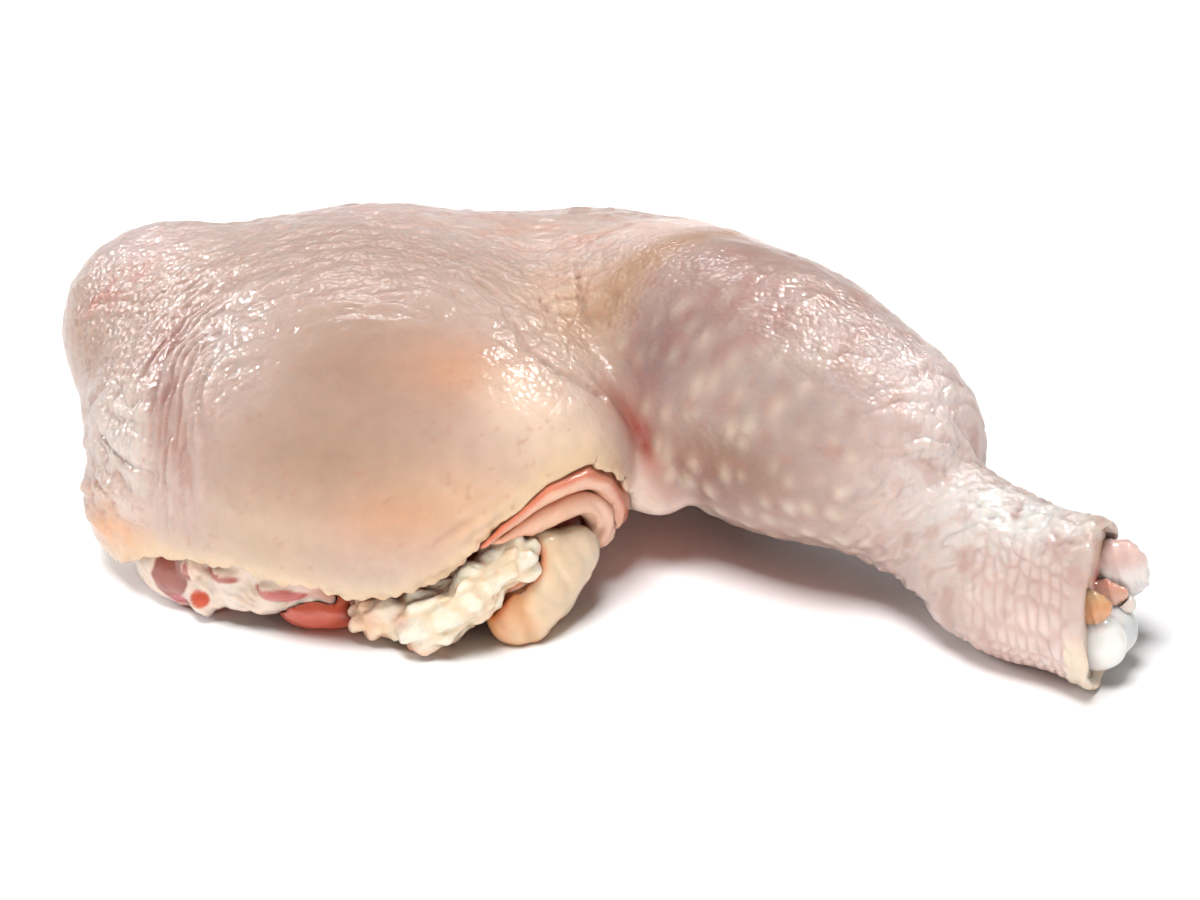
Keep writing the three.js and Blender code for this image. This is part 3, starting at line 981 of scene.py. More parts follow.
def skin_relief(points):
    pillow, scaly = scales(points)
    height = unevenness(points) + hip_folds(points) + flank_wrinkles(points)
    height += hip_streaks(points) + hump_pebbles(points)
    height += thigh_ripples(points) + knee_cushions(points) + knee_creases(points)
    height += small_wrinkles(points)
    height += 0.42 * feather_mounds(points) + calf_crinkles(points) + 0.4 * back_pits(points)
    height += shank_rings(points) + ankle_crinkles(points) + hem_knobs(points)
    height += 0.4 * scaly * (pillow - 0.5)
    return np.clip(height, DEEPEST, HIGHEST) * smooth(points[:, 2], 0.2, 2.5)


# %% Where fine squares are needed
def in_sight(points):
    """The front, the top and the ankle, which the viewer sees."""
    return (points[:, 1] < 24) | (points[:, 2] > 38)


def most_folded(points):
    along, angle = shin_place(points)
    shank = (along > 66) & (angle < 0.6) & (angle > -2.4)
    hip = near(points, (-72, 2, 34), (14, 26, 18)) > 0.4
    knee = near(points, (-8, 12, 42), (16, 22, 10)) > 0.4
    hem = hem_share(points, 3.0) > 0.4
    return shank | hip | knee | hem


# %% [markdown]
# ## The skin's colours
#
# The places below are the middles of the patches, with how far each one reaches. They are
# listed one by one: cream over the fat of the belly's lower edge, mauve where the dark calf
# muscle shines through, peach where the fat lies thin over red meat.

# %% Skin colours
SKIN_GROUND = tone(216, 186, 173)
SKIN_PATCHES = {  # place, reach, colour, strength
    "thigh top": ((-33.6, 22.9, 47.9), (30, 16, 12), tone(210, 178, 162), 0.9),
    # painted light on the thigh's top ridge
    "thigh ridge": ((-30, 40, 42), (40, 14, 10), tone(240, 212, 205), 0.85),
    "thigh middle": ((-39.4, -14.0, 44.0), (19, 17, 12), tone(187, 153, 133), 1.0),
    "thigh front": ((-42.0, -26.0, 34.0), (20, 10, 9), tone(187, 154, 130), 0.9),
    "thigh left": ((-60.0, -6.0, 43.0), (7, 12, 10), tone(202, 178, 168), 0.8),
    "low left": ((-52.0, -31.0, 22.0), (15, 8, 8), tone(213, 181, 152), 0.95),
    "low right": ((-20.0, -31.2, 26.0), (14, 10, 9), tone(241, 196, 160), 0.95),
    "peach flush": ((-20.7, -13.5, 43.0), (11, 7, 6), tone(219, 164, 130), 0.95),
    "low flush": ((-33.0, -32.0, 26.0), (9, 6, 5), tone(222, 166, 126), 0.7),
    "thigh right": ((-13.0, -16.0, 38.0), (7, 8, 7), tone(238, 208, 184), 0.9),
    "knee side": ((-6.0, -18.0, 33.0), (10, 8, 9), tone(250, 220, 194), 0.9),
    # painted light: the web is painted brighter than white paper, for the light the paper throws up
    # into it
    "web": ((8.0, -6.0, 17.0), (9, 8, 8), tone(325, 300, 280), 1.0),
    "hip side": ((-77.0, -9.0, 29.0), (12, 14, 12), tone(240, 224, 212), 0.9),
    "corner": ((-79.0, -13.0, 12.0), (9, 9, 6), tone(252, 191, 141), 0.95),
    "hip folds": ((-70.4, -4.0, 38.5), (5, 14, 9), tone(165, 112, 102), 0.85),
    "hip fold low": ((-66.0, -20.0, 29.0), (5, 6, 9), tone(196, 156, 142), 0.7),
    "hump": ((-79.0, 24.0, 38.0), (15, 17, 13), tone(207, 174, 158), 0.9),
    # painted light on the hump's top
    "hump top": ((-79, 37, 41), (14, 10, 6), tone(234, 208, 202), 0.9),
    "hump tan": ((-87.0, 20.0, 31.0), (5, 7, 5), tone(196, 162, 136), 0.6),
    "yellow fat": ((-4.0, 12.0, 41.0), (10, 10, 6), tone(232, 192, 160), 0.8),
    # painted light on the knee's top, brighter than white paper
    "knee top": ((8.0, 31.0, 48.0), (14, 9, 7), tone(275, 245, 232), 0.9),
    "knee ridge": ((-12.0, 36.0, 44.0), (18, 9, 8), tone(240, 212, 196), 0.8),
    "calf upper": ((20.0, 0.0, 45.5), (9, 8, 7), tone(174, 139, 130), 0.9),
    "calf bruise": ((9.8, -1.0, 39.0), (7, 8, 9), tone(160, 128, 125), 0.95),
    "calf top": ((25.0, 8.0, 49.0), (16, 11, 8), tone(186, 149, 140), 0.9),
    "calf middle": ((28.7, -14.7, 38.1), (14, 10, 9), tone(193, 171, 162), 0.9),
    # painted shade: the calf's lower side and its underside are darker and redder (this line and the
    # next)
    "calf low": ((22.0, -15.5, 26.0), (15, 10, 8), tone(158, 120, 99), 0.95),
    "calf under": ((14.0, -11.5, 19.0), (12, 8, 7), tone(162, 108, 96), 0.9),
    "calf far": ((46.0, -5.0, 42.0), (12, 14, 10), tone(208, 182, 174), 0.9),
    "calf corner": ((53, -10, 36), (7, 10, 9), tone(250, 234, 230), 0.9),
    "shank": ((53.0, -20.0, 27.0), (10, 11, 12), tone(238, 216, 208), 0.9),
    # painted light on the ankle's top
    "ankle top": ((66.0, -29.0, 25.0), (14, 10, 8), tone(248, 250, 245), 0.9),
    "ankle side": ((66.0, -41.0, 15.0), (14, 12, 11), tone(232, 207, 196), 0.95),
    "ankle low": ((71, -45, 8), (13, 6, 6), tone(250, 228, 219), 0.9),
    "rim fat": ((81.0, -38.5, 8.0), (3.0, 4, 6), tone(250, 232, 196), 0.9),
    "rim top": ((79.0, -32.0, 21.0), (4, 6, 6), tone(246, 220, 196), 0.7),
}
print(f"{len(SKIN_PATCHES)} patches of colour on the skin")

# %% Bands and streaks
BRUISE = [(-87, 22, 36), (-81, 25, 39.5), (-77, 27, 41)]
RED_CREASE = [(2.8, -4, 34.5), (5.9, -5.4, 28.5), (9, -5.4, 21.5)]


def tan_band(points):
    """Yellow fat just before the calf muscle begins."""
    place = near(points, (12, 15, 45), (24, 20, 13))
    return place * np.exp(-(((past_calf_edge(points) + 4.4) / 4.6) ** 2))


def skin_paint(points):
    paint = np.tile(SKIN_GROUND, (len(points), 1))
    drift = noise(points, 24.0, 60)
    paint = tint(paint, 0.35 * smooth(drift, 0, 0.8), tone(232, 208, 188))
    paint = tint(paint, 0.4 * smooth(-drift, 0, 0.8), tone(205, 168, 158))
    paint = tint(paint, 0.7 * calf_share(points), tone(198, 170, 160))
    for place, reach, colour, strength in SKIN_PATCHES.values():
        paint = tint(paint, strength * near(points, place, reach), colour)
    paint = tint(paint, 0.9 * tan_band(points), tone(200, 158, 124))
    strip = near(points, (-2, 34, 44), (26, 9, 9)) * smooth(noise(points, 3.4, 61), -0.3, 0.6)
    paint = tint(paint, 0.6 * strip, tone(232, 172, 150))
    paint = tint(paint, 0.85 * hem_share(points, 4.5), tone(251, 218, 176))
    streaks = smooth(noise(points, 1.6, 62), -0.4, 0.5)
    paint = tint(paint, 0.8 * streaks * near_line(points, BRUISE, 2.6), tone(206, 120, 108))
    paint = tint(paint, 0.6 * near_line(points, RED_CREASE, 3.8), tone(188, 112, 92))
    paint = tint(paint, 0.9 * near_line(points, RED_CREASE, 1.5), tone(168, 56, 38))
    return paint


# %% Colours that follow the relief
# painted shade for the bottoms of folds; the same colour also gives the calf its own darker mottle
CREASE_SHADE_AND_MOTTLE = tone(184, 122, 106)  # skin in the bottom of a fold
# painted highlight: the crests of the relief are made paler
CREST_HIGHLIGHT = tone(240, 222, 212)


def rim_strip(points):
    """The last millimetres before the sawn end, low on the viewer's side, where fat shows."""
    back = past_cut(points)
    return smooth(back, -3.9, -3.0) * smooth(-points[:, 2], -15, -11) * smooth(-points[:, 1], 30, 35)


def graininess(points):
    """How pebbly the skin is: most on the hump and the calf's top, least on the thigh's front."""
    places = [
        near(points, (-81, 22, 34), (16, 24, 17)), near(points, (-84, -5, 24), (10, 16, 14)),
        0.35 * near(points, (-62, -5, 42), (8, 18, 8)), 0.7 * near(points, (-3, 10, 42), (14, 16, 8)),
        0.9 * near(points, (43, -5, 43), (21, 13, 12)), 0.6 * near(points, (56, -18, 28), (12, 12, 12)),
        0.4 * near(points, (-30, 26, 47), (40, 22, 9)),
    ]
    return 0.22 + 1.2 * np.clip(sum(places), 0, 1)


def skin_details(points, paint):
    """Colours that follow the relief: painted shade in folds, painted highlight on crests, pale mounds,
    pink scale rims.
    """
    height = skin_relief(points)
    # painted shade in the folds, then painted highlight on the crests
    paint = tint(paint, 0.55 * smooth(-height, 0.1, 0.8), CREASE_SHADE_AND_MOTTLE)
    paint = tint(paint, 0.35 * smooth(height, 0.15, 0.6), CREST_HIGHLIGHT)
    paint = tint(paint, 0.3 * calf_share(points) * smooth(noise(points, 2.6, 65), 0, 0.7), CREASE_SHADE_AND_MOTTLE)
    paint = tint(paint, 0.62 * feather_mounds(points), tone(238, 216, 190))
    pillow, scaly = scales(points)
    paint = tint(paint, 0.4 * (1 - pillow) * scaly, tone(214, 168, 156))
    paint = tint(paint, 0.85 * rim_strip(points), tone(248, 228, 202))
    specks = smooth(noise(points, 1.1, 64), 0.62, 0.85) * (1 - on_drumstick(points))
    return tint(paint, 0.35 * specks, tone(196, 130, 112))


# %% [markdown]
# ## The skin
#
# The outside is one fine mesh. The inside, which hardly shows, is a plain coarse one, and a
# Boolean takes it away: what is left is skin of an even thickness. Where the two are cut
# through, at the hem and at the ankle, the rim shows the fat under the skin, so the inside is
# painted cream to orange.

# %% Hollow a piece
def carved(mesh, tool):
    """Takes one closed mesh away from another."""
    body = bpy.data.objects.new("body", mesh)
    cutter = bpy.data.objects.new("cutter", tool)
    for thing in (body, cutter):
        bpy.context.collection.objects.link(thing)
    cut = body.modifiers.new("cut", "BOOLEAN")
    cut.operation = "DIFFERENCE"
    cut.solver = "MANIFOLD"
    cut.object = cutter
    bpy.context.view_layer.update()
    result = bpy.data.meshes.new_from_object(body.evaluated_get(bpy.context.evaluated_depsgraph_get()))
    name = mesh.name
    for thing in (body, cutter):
        bpy.data.objects.remove(thing)
    for old in (mesh, tool):
        bpy.data.meshes.remove(old)
    result.name = name
    result.materials.clear()
    return result


# %% Outside less inside
LEG_LOW, LEG_HIGH = (-96, -52, -2), (92, 72, 54)
HOLLOW_LOW, HOLLOW_HIGH = (-96, -52, -8), (100, 72, 54)
FINER = [in_sight, most_folded]
outside = shaped("skin_piece", skin_outside, LEG_LOW, LEG_HIGH, cell=1.52,
                 relief=skin_relief, finer=FINER)
inside = shaped("inside", skin_inside, HOLLOW_LOW, HOLLOW_HIGH, cell=3.0)
print(f"skin: {len(outside.polygons)} faces outside, {len(inside.polygons)} inside")
skin_mesh = carved(outside, inside)

# %% Paint the skin
# the line along which the inside of the hem gets red painted shade
HEM_GAP_SHADE = [(-34, -26, 11), (-25, -28, 14), (-8, -20, 24), (2, -12, 22)]
skin_points = points_of(skin_mesh)
paint = skin_details(skin_points, skin_paint(skin_points))
under = smooth(-leg(skin_points), 1.2, 1.9)
paint = tint(paint, under, tone(236, 176, 134))
paint = tint(paint, under * smooth(past_cut(skin_points), -6, -2), tone(248, 222, 196))
# painted shade: deep red on the inside of the hem, along the gap under it
paint = tint(paint, under * near_line(skin_points, HEM_GAP_SHADE, 5), tone(214, 66, 26))
store(skin_mesh, "paint", paint)
store(skin_mesh, "graininess", graininess(skin_points))
wet_skin = wet_flesh("wet_skin", grain_depth=0.3, fine_depth=0.12, uneven=True)
place_piece(skin_mesh, wet_skin, "skin", "skin")


# %% [markdown]
# ## The sawn hock
#
# At the ankle the joint was sawn through. The shin bone ends in two smooth white knuckles at the
# bottom; beside and above them stick out the cut ends of two tendons, a white knob of cartilage
# and a lobe of joint tissue. Places there are easiest to give on the cut itself: to the right,
# up, and out of it.

# %% Shapes at the hock
GAP = 0.15  # between neighbouring pieces
HOCK_OUT, HOCK_RIGHT, HOCK_UP = axes(CUT_FACING)
CONDYLES = [((-3, -5.6, -0.5), (4.1, 4.7, 4.8)), ((1.5, -5.9, 0.7), (3.7, 4.5, 4.3))]


def on_hock(right, up, out):
    return HOCK + right * HOCK_RIGHT + up * HOCK_UP + out * HOCK_OUT


def hock_egg(points, place, half):
    right, up, out = half
    return egg(points, on_hock(*place), (out, right, up), along=HOCK_OUT)


def shin_bone(points):
    shaft = rod(points, (7.4, 24.2, 25.1), on_hock(-0.9, -5, -6.5), 4.0, 4.0)
    knuckles = soft_union(*(hock_egg(points, *c) for c in CONDYLES), 1.0)
    return soft_union(shaft, knuckles, 3.7)


def inside_skin(points, form):
    """Keeps a form clear of the skin, as long as it is within the ankle."""
    clear = leg(points) + thickness(points) + GAP
    beyond = past_cut(points) - 1.0
    return soft_cut(form, np.minimum(clear, -beyond), 0.4)


# %% Shin bone
BONE_LOW, BONE_HIGH = (2, -48, 2), (94, 32, 33)


def bone_end(points):
    return inside_skin(points, shin_bone(points))


def bone_relief(points):
    groove = near_line(points, [on_hock(-0.8, -1, 4), on_hock(-0.6, -9, 5)], 0.9)
    return 0.12 * noise(points, 2.2, 70) - 0.5 * groove


def bone_paint(points):
    paint = np.tile(tone(258, 255, 250), (len(points), 1))
    paint = tint(paint, near(points, on_hock(1.6, -5, 5), (3, 3, 3.4)), tone(206, 208, 210))
    paint = tint(paint, 0.8 * smooth(-past_cut(points), 0.4, 3), tone(226, 170, 150))
    return tint(paint, 0.5 * smooth(noise(points, 2.4, 71), 0.3, 0.8), tone(232, 214, 200))


bone_mesh = shaped("shin_bone_piece", bone_end, BONE_LOW, BONE_HIGH, cell=1.0, relief=bone_relief,
                   finer=[lambda points: past_cut(points) > -3])
store(bone_mesh, "paint", bone_paint(points_of(bone_mesh)))
cartilage = wet_flesh("cartilage", scatter=0.9, coat=0.8, coat_roughness=0.08, roughness=0.35,
                      grain=2.5, grain_depth=0.03, fine=1.0, fine_depth=0.02, spread=0.03)
place_piece(bone_mesh, cartilage, "bone", "shin_bone")

# %% [markdown]
# ## Tendons, knob and tissue
#
# The cut ends of two tendons, a small white knob and a lobe of joint tissue fill the rest of the
# sawn joint. Each is an egg, cut where it would touch a neighbour, so one loop makes all four
# from a table. Real tendon is threads side by side: `strands` gives them as relief, because a
# painted stripe would catch no light.

# %% Places and cuts
HOCK_LOW, HOCK_HIGH = (68, -50, -1), (96, -18, 29)
HOCK_BITS = {  # place, half lengths, and two colours
    "front_tendon": ((-4.3, 1.5, -1.5), (2.1, 3, 4.1), tone(240, 200, 156), tone(232, 150, 96)),
    "middle_tendon": ((2, 0.4, -1.1), (1.8, 2.4, 4.7), tone(226, 150, 128), tone(240, 200, 176)),
    "joint_knob": ((2.4, -1.8, 3.3), (1.7, 1.6, 1.5), tone(246, 242, 236), tone(236, 214, 200)),
    "joint_tissue": ((7.5, 1.6, 0.8), (3.5, 5.4, 5.2), tone(250, 238, 232), tone(246, 208, 198)),
}
BIT_SLOTS = {"joint_knob": "bone", "joint_tissue": "joint_tissue"}


def bit_distance(name):
    place, half, _, _ = HOCK_BITS[name]
    earlier = list(HOCK_BITS)[: list(HOCK_BITS).index(name)]

    def distance(points):
        form = soft_cut(hock_egg(points, place, half), GAP - shin_bone(points), 0.3)
        for other in earlier:
            form = soft_cut(form, GAP - hock_egg(points, *HOCK_BITS[other][:2]), 0.3)
        return inside_skin(points, form)

    return distance


# %% Make the four
def strands(points):
    """Threads that run up and down the cut face and bend a little."""
    across = points @ HOCK_OUT + 0.4 * points @ HOCK_RIGHT + 0.25 * points @ HOCK_UP
    return 0.6 * billows(across / 1.3 + wavy(points, 0.3, 74), points @ HOCK_UP / 5, 72)


tendon = wet_flesh("tendon", scatter=1.0, coat=0.8, coat_roughness=0.1, roughness=0.35, grain=1.2,
                   grain_depth=0.05, fine=0.5, fine_depth=0.03)
for name, (place, half, light, deep) in HOCK_BITS.items():
    bit = shaped(name + "_piece", bit_distance(name), HOCK_LOW, HOCK_HIGH, cell=0.4, relief=strands)
    places = points_of(bit)
    paint = np.tile(light, (len(places), 1))
    upper = smooth((places - on_hock(*place)) @ HOCK_UP, 0.5, 3.5)
    paint = tint(paint, 0.9 * upper if name == "joint_tissue" else 0.6 * (1 - upper), deep)
    store(bit, "paint", paint)
    place_piece(bit, tendon, BIT_SLOTS.get(name, "tendon"), name)


# %% [markdown]
# ## Cut meat at the hip
#
# Where the leg was taken off the body, the cut muscles show through a white membrane like
# windows: a large dark pink oval, slim ones beside it, a round coral one below. The muscle ends
# bulge out a little, and the membrane runs round them in ridges. All of the meat is one piece,
# the leg's own form a skin's thickness further in, so that it fills the skin from hip to ankle. A
# pocket is cut from it under the hem, for the fat and the folds.

# %% Meat's form
HIP_MUSCLES = [  # middle, half lengths, heading, blend
    ((-70.3, -15.2, 6.6), (3.6, 3.4, 4.4), 20, 1.0),
    ((-66.2, -19.6, 10), (2.2, 2.6, 2.4), 20, 1.0),
    ((-60, -22, 10.4), (3.4, 2.6, 1.6), 10, 1.0),
    ((-64.5, -19.5, 3.6), (2.8, 2.8, 2.4), 0, 1.0),
    ((-50.8, -25.6, 9.2), (4.4, 2.2, 1.9), 5, 1.0),
    ((-55, -21.0, 6.2), (8, 4, 3.4), -4, 2.5),
]
POCKET_LEFT, POCKET_RIGHT, POCKET_BACK, POCKET_DROP = -42.8, 4.6, -8.4, 1.4
MEAT_RECESS = 1
POCKET_MIDDLE, POCKET_HALF = (POCKET_LEFT + POCKET_RIGHT) / 2, (POCKET_RIGHT - POCKET_LEFT) / 2
WINDOWS = {  # middle, half lengths, heading, colour
    "large oval": ((-70.3, -18.7, 7.4), (2.9, 4, 4.0), 20, tone(158, 58, 42)),
    "slim": ((-67.0, -19.3, 9.8), (1.1, 3, 2.2), 0, tone(186, 80, 50)),
    "wide": ((-60.8, -21.6, 10.2), (3.1, 4, 1.3), 0, tone(180, 74, 46)),
    "coral": ((-65.2, -20.3, 4.6), (1.8, 3, 1.6), 0, tone(226, 104, 76)),
    "magenta": ((-69.0, -18.8, 2.6), (1.7, 3, 1.1), 0, tone(206, 54, 74)),
    "long": ((-51.5, -25.5, 9.0), (4.6, 4, 1.3), 8, tone(198, 88, 78)),
}


def meat(points):
    form = leg(points) + thickness(points) + GAP
    for middle, half, heading, blend in HIP_MUSCLES:
        form = soft_union(form, egg(points, middle, half, heading), blend)
    height = hem_height(points) - POCKET_DROP
    pocket = np.maximum(points[:, 2] - height, points[:, 1] - POCKET_BACK)
    pocket = np.maximum(pocket, np.abs(points[:, 0] - POCKET_MIDDLE) - POCKET_HALF)
    form = soft_cut(form, -pocket, 1.0)
    form = soft_cut(form, past_cut(points, MEAT_RECESS), 0.6)
    form = soft_cut(form, GAP - shin_bone(points), 0.4)
    for place, half, _, _ in HOCK_BITS.values():
        form = soft_cut(form, GAP - hock_egg(points, place, half), 0.4)
    return soft_cut(form, -points[:, 2], 0.5)


# %% Membrane and windows
def window_share(points):
    shares = {}
    for name, (middle, half, heading, _) in WINDOWS.items():
        edge = egg(points, middle, half, heading) + 0.25 * noise(points, 1.6, 81)
        shares[name] = 1 - smooth(edge, -0.25, 0.25)
    return shares


def hip_cut(points):
    return near(points, (-62, -20, 6), (19, 12, 11))


def meat_relief(points):
    """The membrane's ridges and small folds, and the windows sunk a little between them."""
    shares = window_share(points)
    sunk = np.maximum.reduce(list(shares.values()))
    folds = 0.9 * billows((points[:, 0] + points[:, 2]) / 2 + wavy(points, 0.6, 82),
                          (points[:, 0] - points[:, 2]) / 5, 85)
    return (folds * (1 - sunk) - 0.35 * sunk) * hip_cut(points) + 0.1 * noise(points, 1.3, 83)


def meat_paint(points):
    grain = smooth(noise(points * (0.5, 1, 1), 2.2, 84), -0.6, 0.6)
    paint = tint(np.tile(tone(190, 96, 78), (len(points), 1)), 0.4 * grain, tone(214, 130, 110))
    membrane = smooth(hip_cut(points), 0.15, 0.5)
    paint = tint(paint, membrane, tone(244, 216, 194))
    paint = tint(paint, 0.5 * membrane * grain, tone(250, 236, 222))
    for name, share in window_share(points).items():
        paint = tint(paint, share * (0.88 + 0.12 * grain), WINDOWS[name][3])
    # painted shadow: dark red low down by the paper and in the gaps under the hip cut and behind the
    # red muscle
    low = smooth(-points[:, 2], -2.2, -0.6) * membrane
    paint = tint(paint, 0.8 * low, tone(196, 88, 62))
    gap = near(points, (-54, -20, 0.5), (11, 6, 2.2)) + near(points, (-44, -12, 6), (8, 7, 8))
    paint = tint(paint, 0.9 * gap, tone(130, 34, 20))
    # the meat's own red, made deeper as painted shade, on the pocket's back wall behind the hem
    paint = tint(paint, near(points, (-20, -8.4, 12), (22, 4, 12)), tone(196, 50, 22))
    paint = tint(paint, smooth(past_cut(points), -4, -2), tone(240, 206, 184))
    return tint(paint, near(points, on_hock(1.4, 3.4, -1), (2.2, 2.6, 2.6)), tone(180, 30, 20))


# %% Make the meat
def meat_in_sight(points):
    return (hip_cut(points) > 0.3) | (past_cut(points) > -6)


meat_mesh = shaped("meat_piece", meat, LEG_LOW, LEG_HIGH, cell=1.6, relief=meat_relief,
                   finer=[meat_in_sight, meat_in_sight])
store(meat_mesh, "paint", meat_paint(points_of(meat_mesh)))
cut_meat = wet_flesh("cut_meat", scatter=1.2, coat=0.8, coat_roughness=0.1, roughness=0.4,
                     grain=1.5, grain_depth=0.06, fine=0.6, fine_depth=0.04)
place_piece(meat_mesh, cut_meat, "meat", "meat")

# %% [markdown]
# ## Under the hem: muscle, fat and folded skin
#
# From left to right a lobe of red muscle, a rope of knobbly cream fat that rises to the right,
# a smooth peach flap behind its end, and the skin itself, rolled in twice under the hem. Each
# stays a hair clear of the next.

# %% Muscle and fat shapes
UNDER_MUSCLE = [
    ((-46, -20.8, 4), (7, 4.9, 4.2), 5, 0),
    ((-41.9, -20, 3.3), (4.7, 4.6, 3.5), 0, 1.9),
]
FAT_PAD = [
    ((-35.3, -25.6, 5.1), (5.6, 5.1, 4.5), 10, 0),
    ((-27, -28.2, 5.6), (7, 5.8, 5.6), 20, 2.3),
    ((-20.9, -28.8, 10.7), (6, 5.1, 5.8), 20, 2.8),
    ((-14.4, -25.6, 14.9), (5.1, 4.7, 4.8), 10, 2.8),
]
FAT_FLAP = [
    ((-9.3, -21.4, 8.8), (6.6, 5.2, 8.6), 35, 0),
    ((-13, -25.6, 5.1), (5.2, 4.3, 6), 20, 3.7),
    ((-4.2, -16.8, 11.2), (4.4, 4.2, 4.6), 45, 3.7),
]


# %% Keep the neighbours apart
def clear_of(form, *others):
    for other in others:
        form = soft_cut(form, GAP - other, 0.3)
    return form


def tucked_in(points, form):
    form = soft_cut(form, hem_level(points) + GAP, 0.5)
    form = clear_of(form, meat(points))
    return soft_cut(form, -points[:, 2], 0.5)


def contact_shade(*others):
    """1 where another piece lies right against this place, for painted shade along that line."""
    nearest = np.minimum.reduce([np.abs(other) for other in others])
    return np.exp(-((nearest / 0.9) ** 2))


# %% [markdown]
# ## Red muscle
#
# Left of the fat a lobe of bare red muscle shows. Muscle is a bundle of fibres, so its relief is
# fine ridges along it. They could be a bump in the material, but as relief they roughen the
# lobe's edge too. Where the fat lies against it, painted shade turns it dark red.

# %% Red muscle
UNDER_LOW, UNDER_HIGH = (-56, -38, -1), (12, -2, 30)


def fibres(points):
    return 0.5 * billows(points[:, 2] / 1.3 + 0.15 * points[:, 0], points[:, 0] / 6, 92)


def muscle_distance(points):
    form = clear_of(eggs(points, UNDER_MUSCLE), eggs(points, FAT_PAD))
    return tucked_in(points, form)


muscle = shaped("under_muscle_piece", muscle_distance, UNDER_LOW, UNDER_HIGH,
                cell=0.6, relief=fibres)
places = points_of(muscle)
paint = tint(np.tile(tone(212, 92, 64), (len(places), 1)),
             0.6 * smooth(noise(places, 3.0, 93), -0.2, 0.6), tone(234, 128, 98))
paint = tint(paint, 0.8 * smooth(places[:, 2], 5, 9), tone(160, 56, 38))
# painted shade: dark red where the fat lies against the muscle
paint = tint(paint, 0.7 * contact_shade(eggs(places, FAT_PAD)), tone(150, 50, 30))
store(muscle, "paint", paint)
place_piece(muscle, cut_meat, "red_muscle", "under_muscle")


# %% [markdown]
# ## Knobbly fat
#
# Raw fat comes in lobes of a few millimetres that bulge out between thin membranes. They could
# be sculpted one by one. `cells` gives them with less work: high at each seed, sunk in the lines
# between, with small lobes on large ones.

# %% Lobes of fat
def knobs(points):
    along = points @ np.array([[0.88, 0, -0.47], [0, 1, 0], [0.47, 0, 0.88]]) / (1.5, 1, 1)
    large, beyond, _ = cells(along, 4.0, 90)
    small, next_small, _ = cells(points, 2.1, 91)
    lobes = smooth(beyond - large, 0, 0.6) - 0.5 * large
    return lobes - 0.35 + 0.22 * (smooth(next_small - small, 0, 0.6) - 0.6)


# %% Knobbly fat
def pad_distance(points):
    """The pad stays low where the red gap under the hem shows above it."""
    form = tucked_in(points, eggs(points, FAT_PAD))
    gap = 2.2 * near(points, (-25, -30, 13), (6, 12, 12))
    return soft_cut(form, hem_level(points) + gap, 0.8)


pad = shaped("fat_pad_piece", pad_distance, UNDER_LOW, UNDER_HIGH, cell=0.9, relief=knobs,
             finer=[lambda points: points[:, 1] < -18])
places = points_of(pad)
paint = np.tile(tone(258, 247, 224), (len(places), 1))
# the lines between the lobes are orange, deepened there as painted shade
paint = tint(paint, 0.5 * smooth(-knobs(places), 0.15, 0.6), tone(246, 202, 152))
paint = tint(paint, 0.5 * smooth(noise(places, 5.0, 94), 0.1, 0.7), tone(255, 248, 232))
# painted shade: orange on the pad's lower left
paint = tint(paint, 0.6 * near(places, (-38, -29, 6), (4, 5, 5)), tone(238, 170, 116))
paint = tint(paint, 0.9 * near(places, (-31.4, -29.6, 6.6), (1.5, 2.5, 1.6)), tone(206, 74, 36))
# painted shade: deep orange-red along the pad's back edge in the gap under the hem, and where the flap
# and the muscle lie against it
behind = near_line(places, [(-40, -23, 8), (-31, -25, 9.5), (-18, -23.5, 17)], 2.0)
beside = contact_shade(eggs(places, FAT_FLAP), eggs(places, UNDER_MUSCLE))
paint = tint(paint, 0.9 * np.maximum(behind, 0.8 * beside), tone(222, 88, 32))
# painted shade towards the paper
paint = tint(paint, 0.7 * smooth(-places[:, 2], -4.5, -0.5), tone(232, 158, 104))
store(pad, "paint", paint)
fat = wet_flesh("fat", scatter=1.6, coat=0.9, coat_roughness=0.1, roughness=0.4, grain=0.9,
                grain_depth=0.12, fine=0.45, fine_depth=0.06, weight=0.7)
place_piece(pad, fat, "fat", "fat_pad")


# %% [markdown]
# ## Smooth flap of fat
#
# Behind the end of the knobbly fat a smooth flap comes down. Its form is nearly plain: a dent
# where it tucks in under its neighbour, and shallow creases beside it. Paint does the rest:
# orange painted shade low down and where it tucks in, painted light on its upper right, and
# light scatters far in it, which makes it look soft.

# %% Peach flap
def flap_distance(points):
    form = clear_of(eggs(points, FAT_FLAP), eggs(points, FAT_PAD))
    return tucked_in(points, form)


FLAP_TUCK = [(-13, -27, 13), (-12.6, -29, 7), (-10.6, -29, 1)]


def flap_relief(points):
    """A long dent where the flap tucks in under the knobbly fat, and shallow creases beside it."""
    tuck = near_line(points, FLAP_TUCK, 1.1)
    creases = billows((points[:, 0] + 0.5 * points[:, 2]) / 3.4, points[:, 2] / 9, 95)
    return 0.55 * creases + 0.1 * noise(points, 1.8, 96) - 0.9 * tuck


flap = shaped("fat_flap_piece", flap_distance, UNDER_LOW, UNDER_HIGH,
              cell=0.6, relief=flap_relief)
places = points_of(flap)
paint = np.tile(tone(255, 226, 190), (len(places), 1))
# painted shade: orange on the lower left, where the flap goes under the fat
paint = tint(paint, 0.9 * near(places, (-16.5, -27, 6), (3.6, 5, 7)), tone(238, 146, 70))
# painted shade in the dent where the flap tucks in
paint = tint(paint, 0.6 * near_line(places, FLAP_TUCK, 1.5), tone(236, 160, 90))
# painted shade where the pad lies against the flap
paint = tint(paint, 0.8 * contact_shade(eggs(places, FAT_PAD)), tone(222, 116, 52))
# painted light on the flap's upper right
paint = tint(paint, 0.6 * near(places, (-1, -18, 13), (4, 5, 4)), tone(255, 234, 214))
